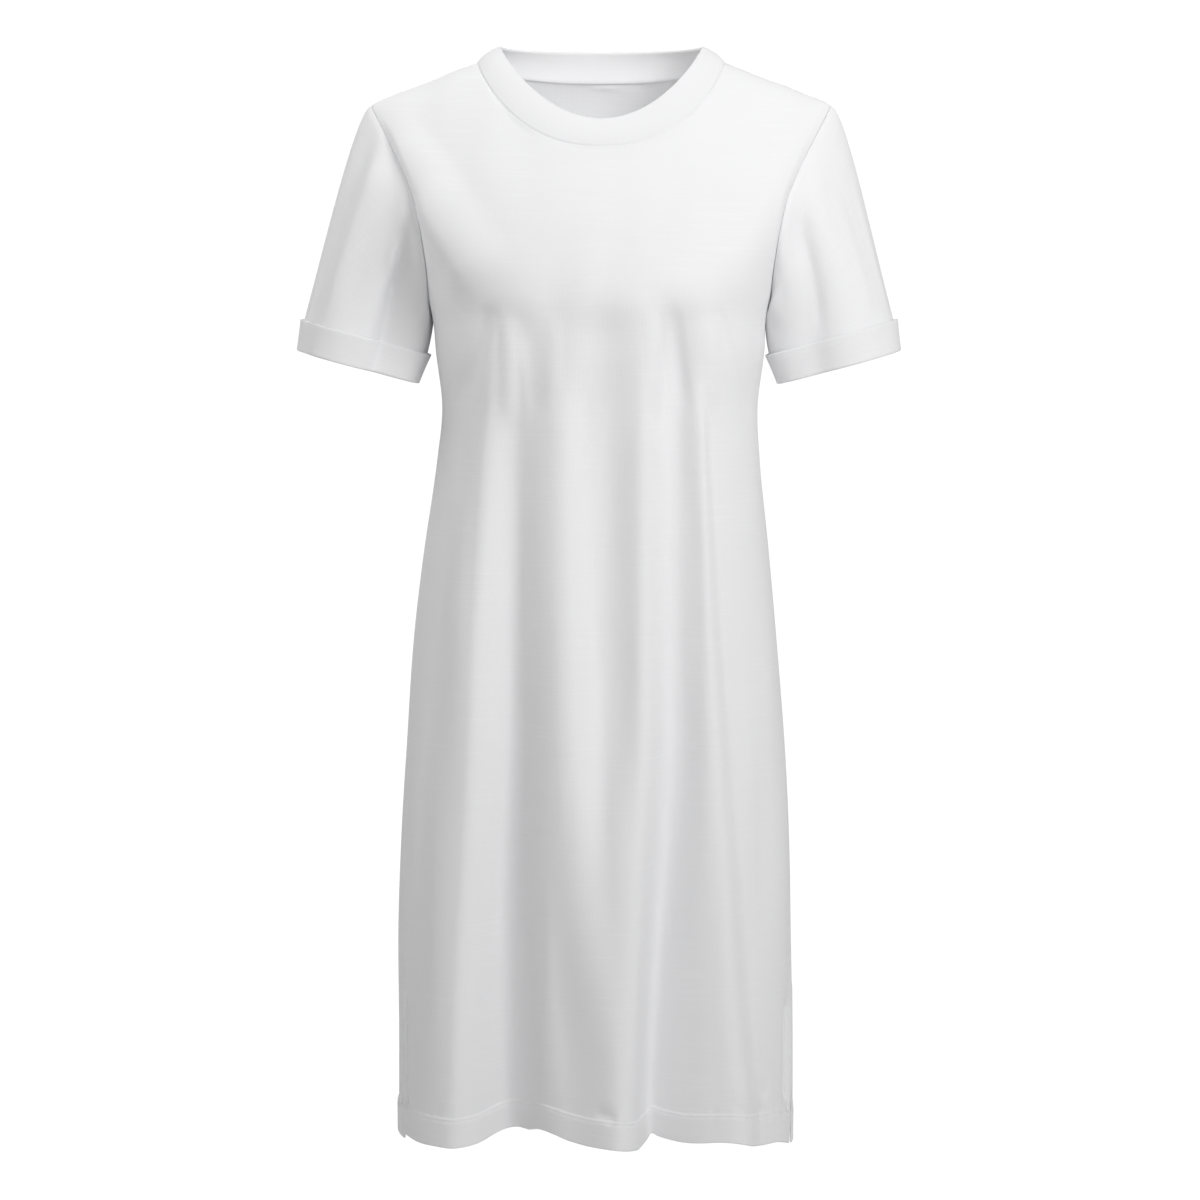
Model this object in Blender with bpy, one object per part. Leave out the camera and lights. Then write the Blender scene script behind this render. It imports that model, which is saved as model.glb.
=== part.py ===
"""A t-shirt dress in cotton jersey, hollow, in the shape that it has when worn.

Metres, +Z up, the front faces -Y. The origin lies midway between the tops of the two
shoulder seams, where the wearer's shoulders hold the dress. Each piece of cloth is a thin
wall: a grid of outer points, and the same grid set in by the thickness of the cloth.
"""

import math
from typing import NamedTuple

import bpy
import numpy as np

# Cloth
CLOTH = 0.0014            # wall of one layer
HEM_CLOTH = 0.0024        # wall where the hem is turned in
BAND_CLOTH = 0.0024       # folded neckband
CUFF_CLOTH = 0.0022       # turned-up cuff
SEAM_GAP = 0.0003         # between two pieces at a seam
WHITE = (0.86, 0.87, 0.88, 1.0)
ROUGHNESS = 0.9

# Heights
HEM = -0.926              # lower edge, on average
HEM_ALLOWANCE = 0.025     # turned in at the hem
SLIT_TOP = -0.802         # side slits run from here to the hem
UNDERARM = -0.2204
NECK_POINT = -0.002       # top of the shoulder seam, beside the neckband
SHOULDER_TIP = -0.0372    # outer end of the shoulder seam

# Neck
NECK_SEAM_SIN = 0.484     # sine of the section angle where the neck seam meets the shoulder
NECK_ROUNDNESS = 2.4
NECK_EASE = 0.76
FRONT_NECK_DROP = 0.0750
BACK_NECK_DROP = 0.0118
BAND_CENTRE_X = 0.002
BAND_HALF_WIDTH = 0.0865  # inner edge of the neckband
BAND_TOP = 0.0105
BAND_FRONT_DEPTH = 0.066
BAND_BACK_DEPTH = 0.061
BAND_FRONT_DROP = 0.0628
BAND_BACK_DROP = 0.0020
BAND_CROWN = 0.0012       # how far the band bows out between its edges

# Sleeves
CUFF_HEIGHT = 0.026
CUFF_FLARE = 0.0012       # the cuff's upper edge stands off the sleeve
SLEEVE_LEAN = math.radians(15.3)
SLEEVE_END = (0.2080, 0.0, -0.2620)
SLEEVE_HALF_WIDTH = 0.0528
SLEEVE_HALF_DEPTH = 0.0450
SLEEVE_TAPER = 0.04       # narrowing of the tube over the cuff's height
CROWN_HANDLE = (0.0130, 0.0, -0.0070)
SIDE_HANDLE = (0.0250, 0.0100, -0.0330)
UNDER_HANDLE = (0.0010, 0.0, -0.0080)
END_HANDLE_SHARE = 0.40

# Grid
NECK_COLUMNS = 9          # from the centre to the neck point
SHOULDER_COLUMNS = 7      # from the neck point to the shoulder tip
NECK_POINT_COLUMN = 0.56  # share of the half panel where the neck point's column starts
SKIRT_ROWS = 20
YOKE_ROWS = 14
SLEEVE_ROWS = 8
CUFF_ROWS = 2
BAND_ROWS = 3
HEM_STEP = 0.003          # height of the step above the turned-in hem
ANGLE_STEP = 1e-4         # for reading normals
HEIGHT_STEP = 1e-5
TINY = 1e-12
SHARP_EDGE = math.radians(50.0)
SEAM_INSET = 0.0007       # share of half a panel that is half a seam gap
SEAM_SLACK = 0.0001       # more room where a curved seam is cut into straight steps
COLUMN_LEAN = 1.5         # how late the columns lean to the neck on their way up
ROW_BEND = 1.6            # how late the rows bend to the neckline on their way up
YOKE_CROWDING = 0.6       # draws the yoke's rows to the underarm and the shoulder
SLEEVE_CROWDING = 1.4     # draws the sleeve's rows to its crown
BAND_DIP = 1.72           # how the band's inner edge dips to the front
HEM_SWAY = 3.0            # how late the hem drops towards the sides
WIDEST_FOLD_SINE = 0.98   # keeps the middle of a fold off the side seam


class Section(NamedTuple):
    """A level section of the dress; front and back meet at its widest points."""
    height: float
    half_width: float
    front_depth: float
    back_depth: float
    squareness: float
    shift: float          # of its centre, towards +X
    left_seam: float      # degrees that the side seam has swung to the front
    right_seam: float


SECTIONS = (
    Section(-0.945, 0.1725, 0.107, 0.112, 2.30, -0.0026, 17.0, 9.0),
    Section(-0.870, 0.1722, 0.108, 0.113, 2.30, -0.0032, 16.0, 8.0),
    Section(-0.780, 0.1718, 0.109, 0.113, 2.30, -0.0040, 14.0, 7.0),
    Section(-0.690, 0.1700, 0.110, 0.112, 2.30, -0.0035, 11.0, 5.0),
    Section(-0.587, 0.1643, 0.110, 0.109, 2.28, -0.0026, 8.0, 3.0),
    Section(-0.482, 0.1560, 0.109, 0.103, 2.25, -0.0032, 5.0, 1.0),
    Section(-0.412, 0.1483, 0.109, 0.096, 2.25, -0.0020, 3.0, 0.0),
    Section(-0.343, 0.1394, 0.112, 0.088, 2.25, -0.0004, 1.0, 0.0),
    Section(-0.297, 0.1358, 0.1165, 0.086, 2.28, 0.0010, 0.0, 0.0),
    Section(-0.248, 0.1412, 0.1245, 0.089, 2.36, 0.0010, 0.0, 0.0),
    Section(UNDERARM, 0.1435, 0.1276, 0.092, 2.40, 0.0005, 0.0, 0.0),
    Section(-0.205, 0.1480, 0.1284, 0.0935, 2.40, 0.0005, 0.0, 0.0),
    Section(-0.178, 0.1570, 0.1262, 0.0950, 2.40, 0.0008, 0.0, 0.0),
    Section(-0.150, 0.1700, 0.1185, 0.0955, 2.40, 0.0010, 0.0, 0.0),
    Section(-0.119, 0.1850, 0.1050, 0.0950, 2.40, 0.0012, 0.0, 0.0),
    Section(-0.077, 0.2020, 0.0830, 0.0910, 2.40, 0.0015, 0.0, 0.0),
    Section(-0.038, 0.2125, 0.0670, 0.0860, 2.40, 0.0018, 0.0, 0.0),
    Section(0.0200, 0.2220, 0.0500, 0.0800, 2.40, 0.0020, 0.0, 0.0),
)


class ArmholePoint(NamedTuple):
    """Where the armhole seam runs, seen from the front."""
    height: float
    half_width: float


ARMHOLE = (
    ArmholePoint(UNDERARM, 0.1435),
    ArmholePoint(-0.2090, 0.1455),
    ArmholePoint(-0.1780, 0.1478),
    ArmholePoint(-0.1500, 0.1517),
    ArmholePoint(-0.1190, 0.1585),
    ArmholePoint(-0.0960, 0.1680),
    ArmholePoint(-0.0680, 0.1820),
    ArmholePoint(-0.0440, 0.1945),
    ArmholePoint(SHOULDER_TIP, 0.1975),
)


class Fold(NamedTuple):
    """A soft upright fold: a ridge where it stands out, a valley where that is negative."""
    name: str
    top: float            # height where it starts
    foot: float           # height where it ends; below the hem where it runs out
    across_top: float     # distance from the centre, towards +X, at its start
    across_foot: float
    half_width_top: float
    half_width_foot: float
    out_top: float
    out_foot: float
    hem_drop: float       # how much lower the hem hangs there


RUNS_OUT = -0.950

FRONT_FOLDS = (
    Fold("left_ridge", -0.211, RUNS_OUT, -0.080, -0.124, 0.0335, 0.0840, 0.0075, 0.0150, 0.0),
    Fold("left_valley", -0.217, RUNS_OUT, -0.070, -0.079, 0.0205, 0.0480, -0.0012, -0.0510, -0.0070),
    Fold("middle_ridge", -0.252, -0.859, -0.035, -0.013, 0.0245, 0.0380, 0.0038, 0.0260, 0.0),
    Fold("middle_valley", -0.190, -0.700, 0.004, 0.020, 0.0400, 0.0340, -0.0035, -0.0185, 0.0),
    Fold("broad_ridge", -0.260, RUNS_OUT, 0.056, 0.007, 0.0490, 0.0565, 0.0025, 0.0360, -0.0070),
    Fold("right_valley", -0.186, RUNS_OUT, 0.061, 0.066, 0.0310, 0.0325, -0.0120, -0.0285, -0.0010),
    Fold("right_ridge", -0.249, RUNS_OUT, 0.078, 0.121, 0.0120, 0.0300, 0.0055, 0.0210, 0.0),
)

BACK_FOLDS = (
    Fold("left_ridge", -0.260, RUNS_OUT, -0.092, -0.118, 0.030, 0.038, 0.003, 0.013, 0.001),
    Fold("left_valley", -0.230, RUNS_OUT, -0.056, -0.070, 0.028, 0.036, -0.004, -0.018, -0.004),
    Fold("centre_ridge", -0.270, RUNS_OUT, -0.016, -0.022, 0.030, 0.040, 0.004, 0.013, 0.001),
    Fold("centre_valley", -0.230, RUNS_OUT, 0.024, 0.030, 0.030, 0.034, -0.005, -0.017, -0.004),
    Fold("right_ridge", -0.260, RUNS_OUT, 0.066, 0.084, 0.030, 0.040, 0.004, 0.014, 0.001),
    Fold("right_valley", -0.420, RUNS_OUT, 0.112, 0.130, 0.024, 0.026, -0.003, -0.009, -0.001),
)


class SleeveFold(NamedTuple):
    """A fold down a sleeve, by how far round it lies: 0 outside, 90 in front, 180 inside."""
    side: float
    turn_top: float       # degrees
    turn_foot: float
    half_turn: float
    out: float


SLEEVE_FOLDS = (
    SleeveFold(-1.0, 30.0, 36.0, 26.0, 0.0035),
    SleeveFold(-1.0, 76.0, 84.0, 36.0, -0.0095),
    SleeveFold(-1.0, 118.0, 124.0, 28.0, -0.0050),
    SleeveFold(-1.0, 250.0, 244.0, 34.0, -0.0040),
    SleeveFold(-1.0, 300.0, 298.0, 30.0, 0.0025),
    SleeveFold(1.0, 103.0, 116.0, 24.0, -0.0040),
    SleeveFold(1.0, 60.0, 64.0, 24.0, 0.0030),
    SleeveFold(1.0, 146.0, 146.0, 24.0, 0.0025),
    SleeveFold(1.0, 240.0, 250.0, 32.0, -0.0035),
    SleeveFold(1.0, 288.0, 294.0, 32.0, 0.0030),
)
SLEEVE_FOLD_AT_CUFF = 0.55  # share of a sleeve's fold that is left at the cuff
SLEEVE_FOLD_GROWN = 0.33    # share of a sleeve's length by which its folds have grown

FOLD_START = 0.10         # share of a fold's length over which it grows
FOLD_END = 0.40           # and over which it dies away, where it ends above the hem


class Panel(NamedTuple):
    """Front or back: where its centre lies round the section, and what shapes it."""
    name: str
    centre: float         # degrees round the section, 0 at the centre front
    side: float           # -1 in front, +1 behind
    depth: str            # the section's column for its depth
    shoulder_roll: float  # height over which the cloth rolls over the shoulder
    neck_drop: float
    hem_centre: float
    hem_left: float
    hem_right: float
    folds: tuple


FRONT = Panel("front", 0.0, -1.0, "front_depth", 0.100, FRONT_NECK_DROP,
              -0.9215, -0.9305, -0.9370, FRONT_FOLDS)
BACK = Panel("back", 180.0, 1.0, "back_depth", 0.075, BACK_NECK_DROP,
             -0.9250, -0.9300, -0.9370, BACK_FOLDS)

SLIT_OPENING = 2.0        # degrees that each edge of a slit has drawn back at the hem


def remove_everything():
    """Empty the scene."""
    for old in list(bpy.data.objects):
        bpy.data.objects.remove(old, do_unlink=True)


def smooth_curve(knots, values, places):
    """Read a smooth curve through (knots, values); knots rise."""
    knots = np.asarray(knots, float)
    values = np.asarray(values, float)
    steps = np.diff(knots)
    slopes = np.diff(values) / steps
    tangents = np.empty_like(values)
    tangents[0] = slopes[0]
    tangents[-1] = slopes[-1]
    weights = steps[1:] + steps[:-1]
    tangents[1:-1] = (slopes[:-1] * steps[1:] + slopes[1:] * steps[:-1]) / weights
    places = np.clip(places, knots[0], knots[-1])
    cell = np.clip(np.searchsorted(knots, places, side="right") - 1, 0, len(steps) - 1)
    width = steps[cell]
    t = (places - knots[cell]) / width
    return ((2 * t**3 - 3 * t**2 + 1) * values[cell]
            + (t**3 - 2 * t**2 + t) * width * tangents[cell]
            + (3 * t**2 - 2 * t**3) * values[cell + 1]
            + (t**3 - t**2) * width * tangents[cell + 1])


def yoke_shares():
    """Shares of the armhole's length at which the yoke's rows leave it."""
    even = np.linspace(0.0, 1.0, YOKE_ROWS + 1)
    crowded = (1.0 - np.cos(math.pi * even)) / 2.0
    return even + YOKE_CROWDING * (crowded - even)


def unit(vectors):
    """Vectors of length 1 in the same directions."""
    return vectors / (np.linalg.norm(vectors, axis=-1, keepdims=True) + TINY)


def smooth_step(share):
    """Rise from 0 to 1 without a corner."""
    share = np.clip(share, 0.0, 1.0)
    return share * share * (3.0 - 2.0 * share)


def section_value(column, height):
    """One column of the section table at any height."""
    return smooth_curve([row.height for row in SECTIONS],
                        [getattr(row, column) for row in SECTIONS], height)


def shoulder_height(sine):
    """Height of the shoulder line, by the sine of the section angle."""
    tip_sine = ARMHOLE[-1].half_width / float(section_value("half_width", SHOULDER_TIP))
    fall = (NECK_POINT - SHOULDER_TIP) / (tip_sine - NECK_SEAM_SIN)
    over_neck = NECK_POINT + fall * (NECK_SEAM_SIN**2 - sine**2) / (2.0 * NECK_SEAM_SIN)
    over_shoulder = NECK_POINT - fall * (sine - NECK_SEAM_SIN)
    return np.where(sine < NECK_SEAM_SIN, over_neck, over_shoulder)


def fold_bump(fold, angle, height, half_width, depth):
    """How much of a fold is felt at each place, from 0 to 1, and how far down it is."""
    share = (fold.top - height) / (fold.top - fold.foot)
    down = np.clip(share, 0.0, 1.0)
    across = fold.across_top + (fold.across_foot - fold.across_top) * down
    width = fold.half_width_top + (fold.half_width_foot - fold.half_width_top) * down
    middle = np.arcsin(np.clip(across / half_width, -WIDEST_FOLD_SINE, WIDEST_FOLD_SINE))
    per_radian = np.hypot(half_width * np.cos(middle), depth * np.sin(middle))
    offset = np.clip((angle - middle) * per_radian / width, -1.0, 1.0)
    grown = smooth_step(share / FOLD_START)
    if fold.foot > HEM:
        grown = grown * smooth_step((1.0 - share) / FOLD_END)
    return 0.5 * (1.0 + np.cos(math.pi * offset)) * grown, down


def body_points(panel, angle, height):
    """Outer points of the dress at each angle round the section and each height."""
    half_width = section_value("half_width", height)
    in_front = np.cos(angle) >= 0.0
    depth = np.where(in_front, section_value("front_depth", height),
                     section_value("back_depth", height))
    power = section_value("squareness", height)
    sine = np.sin(angle)
    below = (shoulder_height(np.abs(sine)) - height) / panel.shoulder_roll
    below = np.clip(below, 0.0, 1.0)
    roll = np.sqrt(below * (2.0 - below))
    level = np.clip(1.0 - np.abs(sine)**power, 0.0, 1.0)**(1.0 / power)
    x = half_width * sine
    y = np.where(in_front, -1.0, 1.0) * depth * level * roll

    pull = np.abs(x)**(power - 1.0) * np.sign(x) / half_width**power
    push = np.abs(y)**(power - 1.0) * np.sign(y) / depth**power
    length = np.hypot(pull, push) + TINY
    from_centre = (angle - math.radians(panel.centre)) * -panel.side
    out = np.zeros_like(x)
    for fold in panel.folds:
        felt, down = fold_bump(fold, from_centre, height, half_width, depth)
        out = out + felt * (fold.out_top + (fold.out_foot - fold.out_top) * down)
    x = x + out * pull / length + section_value("shift", height)
    y = y + out * push / length
    return np.stack([x, y, height + np.zeros_like(x)], axis=-1)


def body_normals(panel, angle, height):
    """Outward normals of the dress, from how its points move with angle and height."""
    across = (body_points(panel, angle + ANGLE_STEP, height)
              - body_points(panel, angle - ANGLE_STEP, height))
    up = (body_points(panel, angle, height + HEIGHT_STEP)
          - body_points(panel, angle, height - HEIGHT_STEP))
    return unit(np.cross(across, up))


def half_columns():
    """Columns of half a panel, from its centre, 0, to its side, 1."""
    inner = np.linspace(0.0, NECK_POINT_COLUMN, NECK_COLUMNS + 1)
    outer = np.linspace(NECK_POINT_COLUMN, 1.0, SHOULDER_COLUMNS + 1)
    return np.concatenate([inner, outer[1:]])


def panel_columns():
    """Columns of a panel from -1 to 1, drawn in at both sides by half a seam gap."""
    half = half_columns() * (1.0 - SEAM_INSET)
    return np.concatenate([-half[::-1], half[1:]])


def side_angles(panel, height):
    """Angles from the panel's centre to its two side edges at a height, slits included."""
    seams = ("left_seam", "right_seam") if panel is FRONT else ("right_seam", "left_seam")
    opened = SLIT_OPENING * np.clip((SLIT_TOP - height) / (SLIT_TOP - HEM), 0.0, 1.0)
    first, last = (90.0 + panel.side * section_value(seam, height) - opened for seam in seams)
    return np.radians(first), np.radians(last)


def hem_height(panel, columns, angle):
    """Height of the hem: lower at the sides, and lower on a ridge than in a valley."""
    left, right = panel.hem_left, panel.hem_right
    side = np.where(columns * -panel.side < 0.0, left, right)
    height = panel.hem_centre + (side - panel.hem_centre) * np.abs(columns)**HEM_SWAY
    half_width = section_value("half_width", HEM)
    depth = section_value(panel.depth, HEM)
    for fold in panel.folds:
        felt, _ = fold_bump(fold, angle * -panel.side, HEM, half_width, depth)
        height = height - felt * fold.hem_drop
    return height


def skirt_row(panel, columns, level):
    """Angles and heights of one row below the underarm."""
    first, last = side_angles(panel, level)
    angle = (columns - 1.0) / 2.0 * first + (columns + 1.0) / 2.0 * last
    near_hem = np.clip((SLIT_TOP - level) / (SLIT_TOP - HEM), 0.0, 1.0)
    height = level + (hem_height(panel, columns, angle) - HEM) * near_hem
    return math.radians(panel.centre) + angle, height


def armhole_angle(half_width, height):
    """Angle from the panel's centre at which the armhole crosses a section."""
    share = half_width / section_value("half_width", height)
    return np.arcsin(np.clip(share, 0.0, 1.0))


def armhole_shares():
    """How far along the front armhole each row of its table lies, from 0 to 1."""
    heights = np.array([point.height for point in ARMHOLE])
    widths = np.array([point.half_width for point in ARMHOLE])
    points = body_points(FRONT, armhole_angle(widths, heights), heights)
    lengths = np.linalg.norm(np.diff(points, axis=0), axis=1)
    return np.concatenate([[0.0], np.cumsum(lengths)]) / lengths.sum()


def yoke_row(panel, columns, share):
    """Angles and heights of one row between the underarm, 0, and the shoulder and neck, 1."""
    shares = armhole_shares()
    height = smooth_curve(shares, [point.height for point in ARMHOLE], share)
    width = smooth_curve(shares, [point.half_width for point in ARMHOLE], share)
    reach = armhole_angle(width, height)
    tip = float(armhole_angle(ARMHOLE[-1].half_width, SHOULDER_TIP))
    neck = math.asin(NECK_SEAM_SIN)
    size = np.abs(columns)
    round_neck = np.sin(0.5 * math.pi * np.clip(size / NECK_POINT_COLUMN, 0.0, 1.0))
    past_neck = (size - NECK_POINT_COLUMN) / (1.0 - NECK_POINT_COLUMN)
    in_neck = size < NECK_POINT_COLUMN
    at_top = np.where(in_neck, neck * round_neck, neck + (tip - neck) * past_neck)
    spread = share**COLUMN_LEAN
    angle = reach * ((1.0 - spread) * size + spread * at_top / tip) * np.sign(columns)

    dip = np.clip(1.0 - round_neck**NECK_ROUNDNESS, 0.0, 1.0)**NECK_EASE
    top = np.where(in_neck, NECK_POINT - panel.neck_drop * dip,
                   shoulder_height(np.sin(at_top)))
    height = height + share**ROW_BEND * (top - SHOULDER_TIP)
    return math.radians(panel.centre) + angle, height


def skirt_levels():
    """Heights of the rows from the hem to the underarm."""
    hem_top = HEM + HEM_ALLOWANCE
    rest = np.linspace(hem_top + HEM_STEP, UNDERARM, SKIRT_ROWS)
    return np.concatenate([[HEM, hem_top], rest])


def ring_normals(rings):
    """Normals of a tube of rings, one ring to a row."""
    along = np.gradient(rings, axis=0)
    across = np.roll(rings, -1, axis=1) - np.roll(rings, 1, axis=1)
    return unit(np.cross(across, along))


def panel_cloth(panel):
    """Outer points and normals of a whole panel, rows from the hem to the shoulder."""
    columns = panel_columns()
    rows = [skirt_row(panel, columns, level) for level in skirt_levels()]
    rows += [yoke_row(panel, columns, share) for share in yoke_shares()[1:]]
    angle = np.stack([row[0] for row in rows])
    height = np.stack([row[1] for row in rows])
    points = body_points(panel, angle, height)
    normals = body_normals(panel, angle, height)
    fall = points[-1, -1 - SHOULDER_COLUMNS] - points[-1, -1]
    slope = math.atan2(fall[2], abs(fall[0]))
    for column in range(-SHOULDER_COLUMNS - 1, SHOULDER_COLUMNS + 1):
        outward = math.copysign(math.sin(slope), points[-1, column, 0])
        normals[-1, column] = (outward, 0.0, math.cos(slope))
    points[..., 1] += panel.side * SEAM_GAP / 2.0
    return points, normals


def cloth_material(name):
    """White cotton jersey: matt, no metal."""
    material = bpy.data.materials.new(name + "_jersey")
    material.use_nodes = True
    shader = material.node_tree.nodes["Principled BSDF"]
    shader.inputs["Base Color"].default_value = WHITE
    shader.inputs["Roughness"].default_value = ROUGHNESS
    shader.inputs["Metallic"].default_value = 0.0
    return material


def wall_object(name, outer, inner, ring=False):
    """One closed wall between two grids of the same layout."""
    rows, columns = outer.shape[:2]
    cells = columns if ring else columns - 1
    back = rows * columns

    def at(row, column):
        return row * columns + column % columns

    flat = outer.reshape(-1, 3)
    faces = []
    for row in range(rows - 1):
        for column in range(cells):
            a, b = at(row, column), at(row, column + 1)
            c, d = at(row + 1, column + 1), at(row + 1, column)
            if np.linalg.norm(flat[a] - flat[c]) > np.linalg.norm(flat[b] - flat[d]):
                a, b, c, d = b, c, d, a
            for triangle in ((a, b, c), (a, c, d)):
                faces.append(triangle)
                faces.append(tuple(back + corner for corner in reversed(triangle)))
    for row, turned in ((0, False), (rows - 1, True)):
        for column in range(cells):
            edge = (at(row, column + 1), at(row, column))
            quad = edge + (back + edge[1], back + edge[0])
            faces.append(tuple(reversed(quad)) if turned else quad)
    if not ring:
        for column, turned in ((0, True), (columns - 1, False)):
            for row in range(rows - 1):
                edge = (at(row + 1, column), at(row, column))
                quad = edge + (back + edge[1], back + edge[0])
                faces.append(tuple(reversed(quad)) if turned else quad)
    points = np.concatenate([flat, inner.reshape(-1, 3)])
    mesh = bpy.data.meshes.new(name)
    mesh.from_pydata(points.tolist(), [], faces)
    mesh.materials.append(cloth_material(name))
    mesh.shade_smooth()
    mesh.set_sharp_from_angle(angle=SHARP_EDGE)
    thing = bpy.data.objects.new(name, mesh)
    bpy.context.scene.collection.objects.link(thing)
    return thing


def make_panel(panel, points, normals):
    """Front or back, thicker where the hem is turned in."""
    wall = np.full((points.shape[0], 1, 1), CLOTH)
    wall[:2] = HEM_CLOTH
    return wall_object(panel.name, points, points - normals * wall)


def armhole_loop(side, front, back):
    """Seam points and panel normals, from the shoulder tip down in front and up behind."""
    front_column, back_column = (-1, 0) if side > 0 else (0, -1)
    loops = []
    for grid in (0, 1):
        down = front[grid][:-YOKE_ROWS - 2:-1, front_column]
        up = back[grid][-YOKE_ROWS:-1, back_column]
        loops.append(np.concatenate([down, up]))
    return loops


def sleeve_rings(side, front, back):
    """A sleeve's outer points and normals, rows from the armhole to its end."""
    seam, seam_normals = armhole_loop(side, front, back)
    shares = yoke_shares()
    turn = math.pi * np.concatenate([1.0 - shares[::-1], 1.0 + shares[1:-1]])[:, None]
    mirror = np.array([side, 1.0, 1.0])
    down = mirror * (math.sin(SLEEVE_LEAN), 0.0, -math.cos(SLEEVE_LEAN))
    out = mirror * (math.cos(SLEEVE_LEAN), 0.0, math.sin(SLEEVE_LEAN))
    forward = np.array([0.0, -1.0, 0.0])
    reach = out * SLEEVE_HALF_WIDTH * np.cos(turn) + forward * SLEEVE_HALF_DEPTH * np.sin(turn)
    end = mirror * SLEEVE_END + reach
    cuff_top = end - down * CUFF_HEIGHT + reach * SLEEVE_TAPER

    crown = ((1.0 + np.cos(turn)) / 2.0)**2
    under = ((1.0 - np.cos(turn)) / 2.0)**2
    flank = 1.0 - crown - under
    to_side = mirror * SIDE_HANDLE * np.concatenate(
        [np.ones_like(turn), -np.sign(np.sin(turn)), np.ones_like(turn)], axis=1)
    handle = crown * mirror * CROWN_HANDLE + flank * to_side + under * mirror * UNDER_HANDLE
    start = seam + (unit(handle) + seam_normals) * SEAM_GAP
    reach_down = np.linalg.norm(cuff_top - start, axis=1, keepdims=True)
    before_end = cuff_top - down * reach_down * END_HANDLE_SHARE
    outward = unit(reach)
    rows = []
    for share in np.linspace(0.0, 1.0, SLEEVE_ROWS + 1)**SLEEVE_CROWDING:
        rest = 1.0 - share
        rows.append(rest**3 * start + 3.0 * rest**2 * share * (start + handle)
                    + 3.0 * rest * share**2 * before_end + share**3 * cuff_top
                    + outward * sleeve_folds(side, turn, share))
    at_cuff = outward * sleeve_folds(side, turn, 1.0)
    for share in np.linspace(0.0, 1.0, CUFF_ROWS + 1)[1:]:
        rows.append(cuff_top + (end - cuff_top) * share + at_cuff)
    rings = np.stack(rows)
    normals = ring_normals(rings) * side
    over = (1.0 + np.cos(turn)) / 2.0
    normals[0] = unit(over * seam_normals + (1.0 - over) * normals[0])
    return rings, normals


def sleeve_folds(side, turn, share):
    """How far the folds move a sleeve outwards, round it and down it."""
    out = np.zeros_like(turn)
    felt = smooth_step(share / SLEEVE_FOLD_GROWN) * (1.0 - (1.0 - SLEEVE_FOLD_AT_CUFF) * smooth_step(share))
    for fold in SLEEVE_FOLDS:
        if fold.side == side:
            middle = math.radians(fold.turn_top + (fold.turn_foot - fold.turn_top) * share)
            offset = np.clip((turn - middle) / math.radians(fold.half_turn), -1.0, 1.0)
            out = out + fold.out * felt * 0.5 * (1.0 + np.cos(math.pi * offset))
    return out


def make_sleeve(name, rings, normals, side):
    """The sleeve's wall."""
    outer, inner = rings, rings - normals * CLOTH
    if side < 0:
        outer, inner = outer[:, ::-1], inner[:, ::-1]
    wall_object(name, outer, inner, ring=True)


def make_cuff(name, rings, normals, side):
    """The turned-up end, made from the sleeve's last rows moved out."""
    rows = rings[-CUFF_ROWS - 1:].copy()
    ways = normals[-CUFF_ROWS - 1:]
    rows[-1] += unit(rows[-1] - rows[-2]) * 2.0 * SEAM_GAP
    flare = np.linspace(CUFF_FLARE, 0.0, CUFF_ROWS + 1)[:, None, None]
    inner = rows + ways * (SEAM_GAP + SEAM_SLACK + flare / 2.0)
    outer = rows + ways * (SEAM_GAP + SEAM_SLACK + flare / 2.0 + CUFF_CLOTH)
    if side < 0:
        outer, inner = outer[:, ::-1], inner[:, ::-1]
    wall_object(name, outer, inner, ring=True)


def band_edge(panel, columns):
    """The neckband's inner edge on one side of the shoulders."""
    turn = 0.5 * math.pi * columns / NECK_POINT_COLUMN
    depth = BAND_FRONT_DEPTH if panel is FRONT else BAND_BACK_DEPTH
    drop = BAND_FRONT_DROP if panel is FRONT else BAND_BACK_DROP
    level = np.abs(np.cos(turn))
    x = BAND_CENTRE_X - panel.side * BAND_HALF_WIDTH * np.sin(turn)
    return np.stack([x, panel.side * depth * level, BAND_TOP - drop * level**BAND_DIP], axis=-1)


def make_neckband(front, back):
    """The folded band that stands on the neck seam."""
    first = SHOULDER_COLUMNS
    last = first + 2 * NECK_COLUMNS + 1
    columns = panel_columns()[first:last]
    seam = np.concatenate([front[0][-1, first:last], back[0][-1, first + 1:last - 1]])
    edge = np.concatenate([band_edge(FRONT, columns), band_edge(BACK, columns[1:-1])])
    start = seam + unit(edge - seam) * (SEAM_GAP + SEAM_SLACK)
    shares = np.linspace(0.0, 1.0, BAND_ROWS + 1)[:, None, None]
    flat = start + (edge - start) * shares
    crown = BAND_CROWN * 4.0 * shares * (1.0 - shares)
    outer = flat + ring_normals(flat) * crown
    inner = outer - ring_normals(outer) * BAND_CLOTH
    wall_object("neckband", outer, inner, ring=True)


def main():
    remove_everything()
    front = panel_cloth(FRONT)
    back = panel_cloth(BACK)
    make_panel(FRONT, *front)
    make_panel(BACK, *back)
    for side, word in ((-1.0, "left"), (1.0, "right")):
        rings, normals = sleeve_rings(side, front, back)
        make_sleeve("sleeve_" + word, rings, normals, side)
        make_cuff("cuff_" + word, rings, normals, side)
    make_neckband(front, back)


main()
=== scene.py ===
import math
from collections import namedtuple

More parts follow.
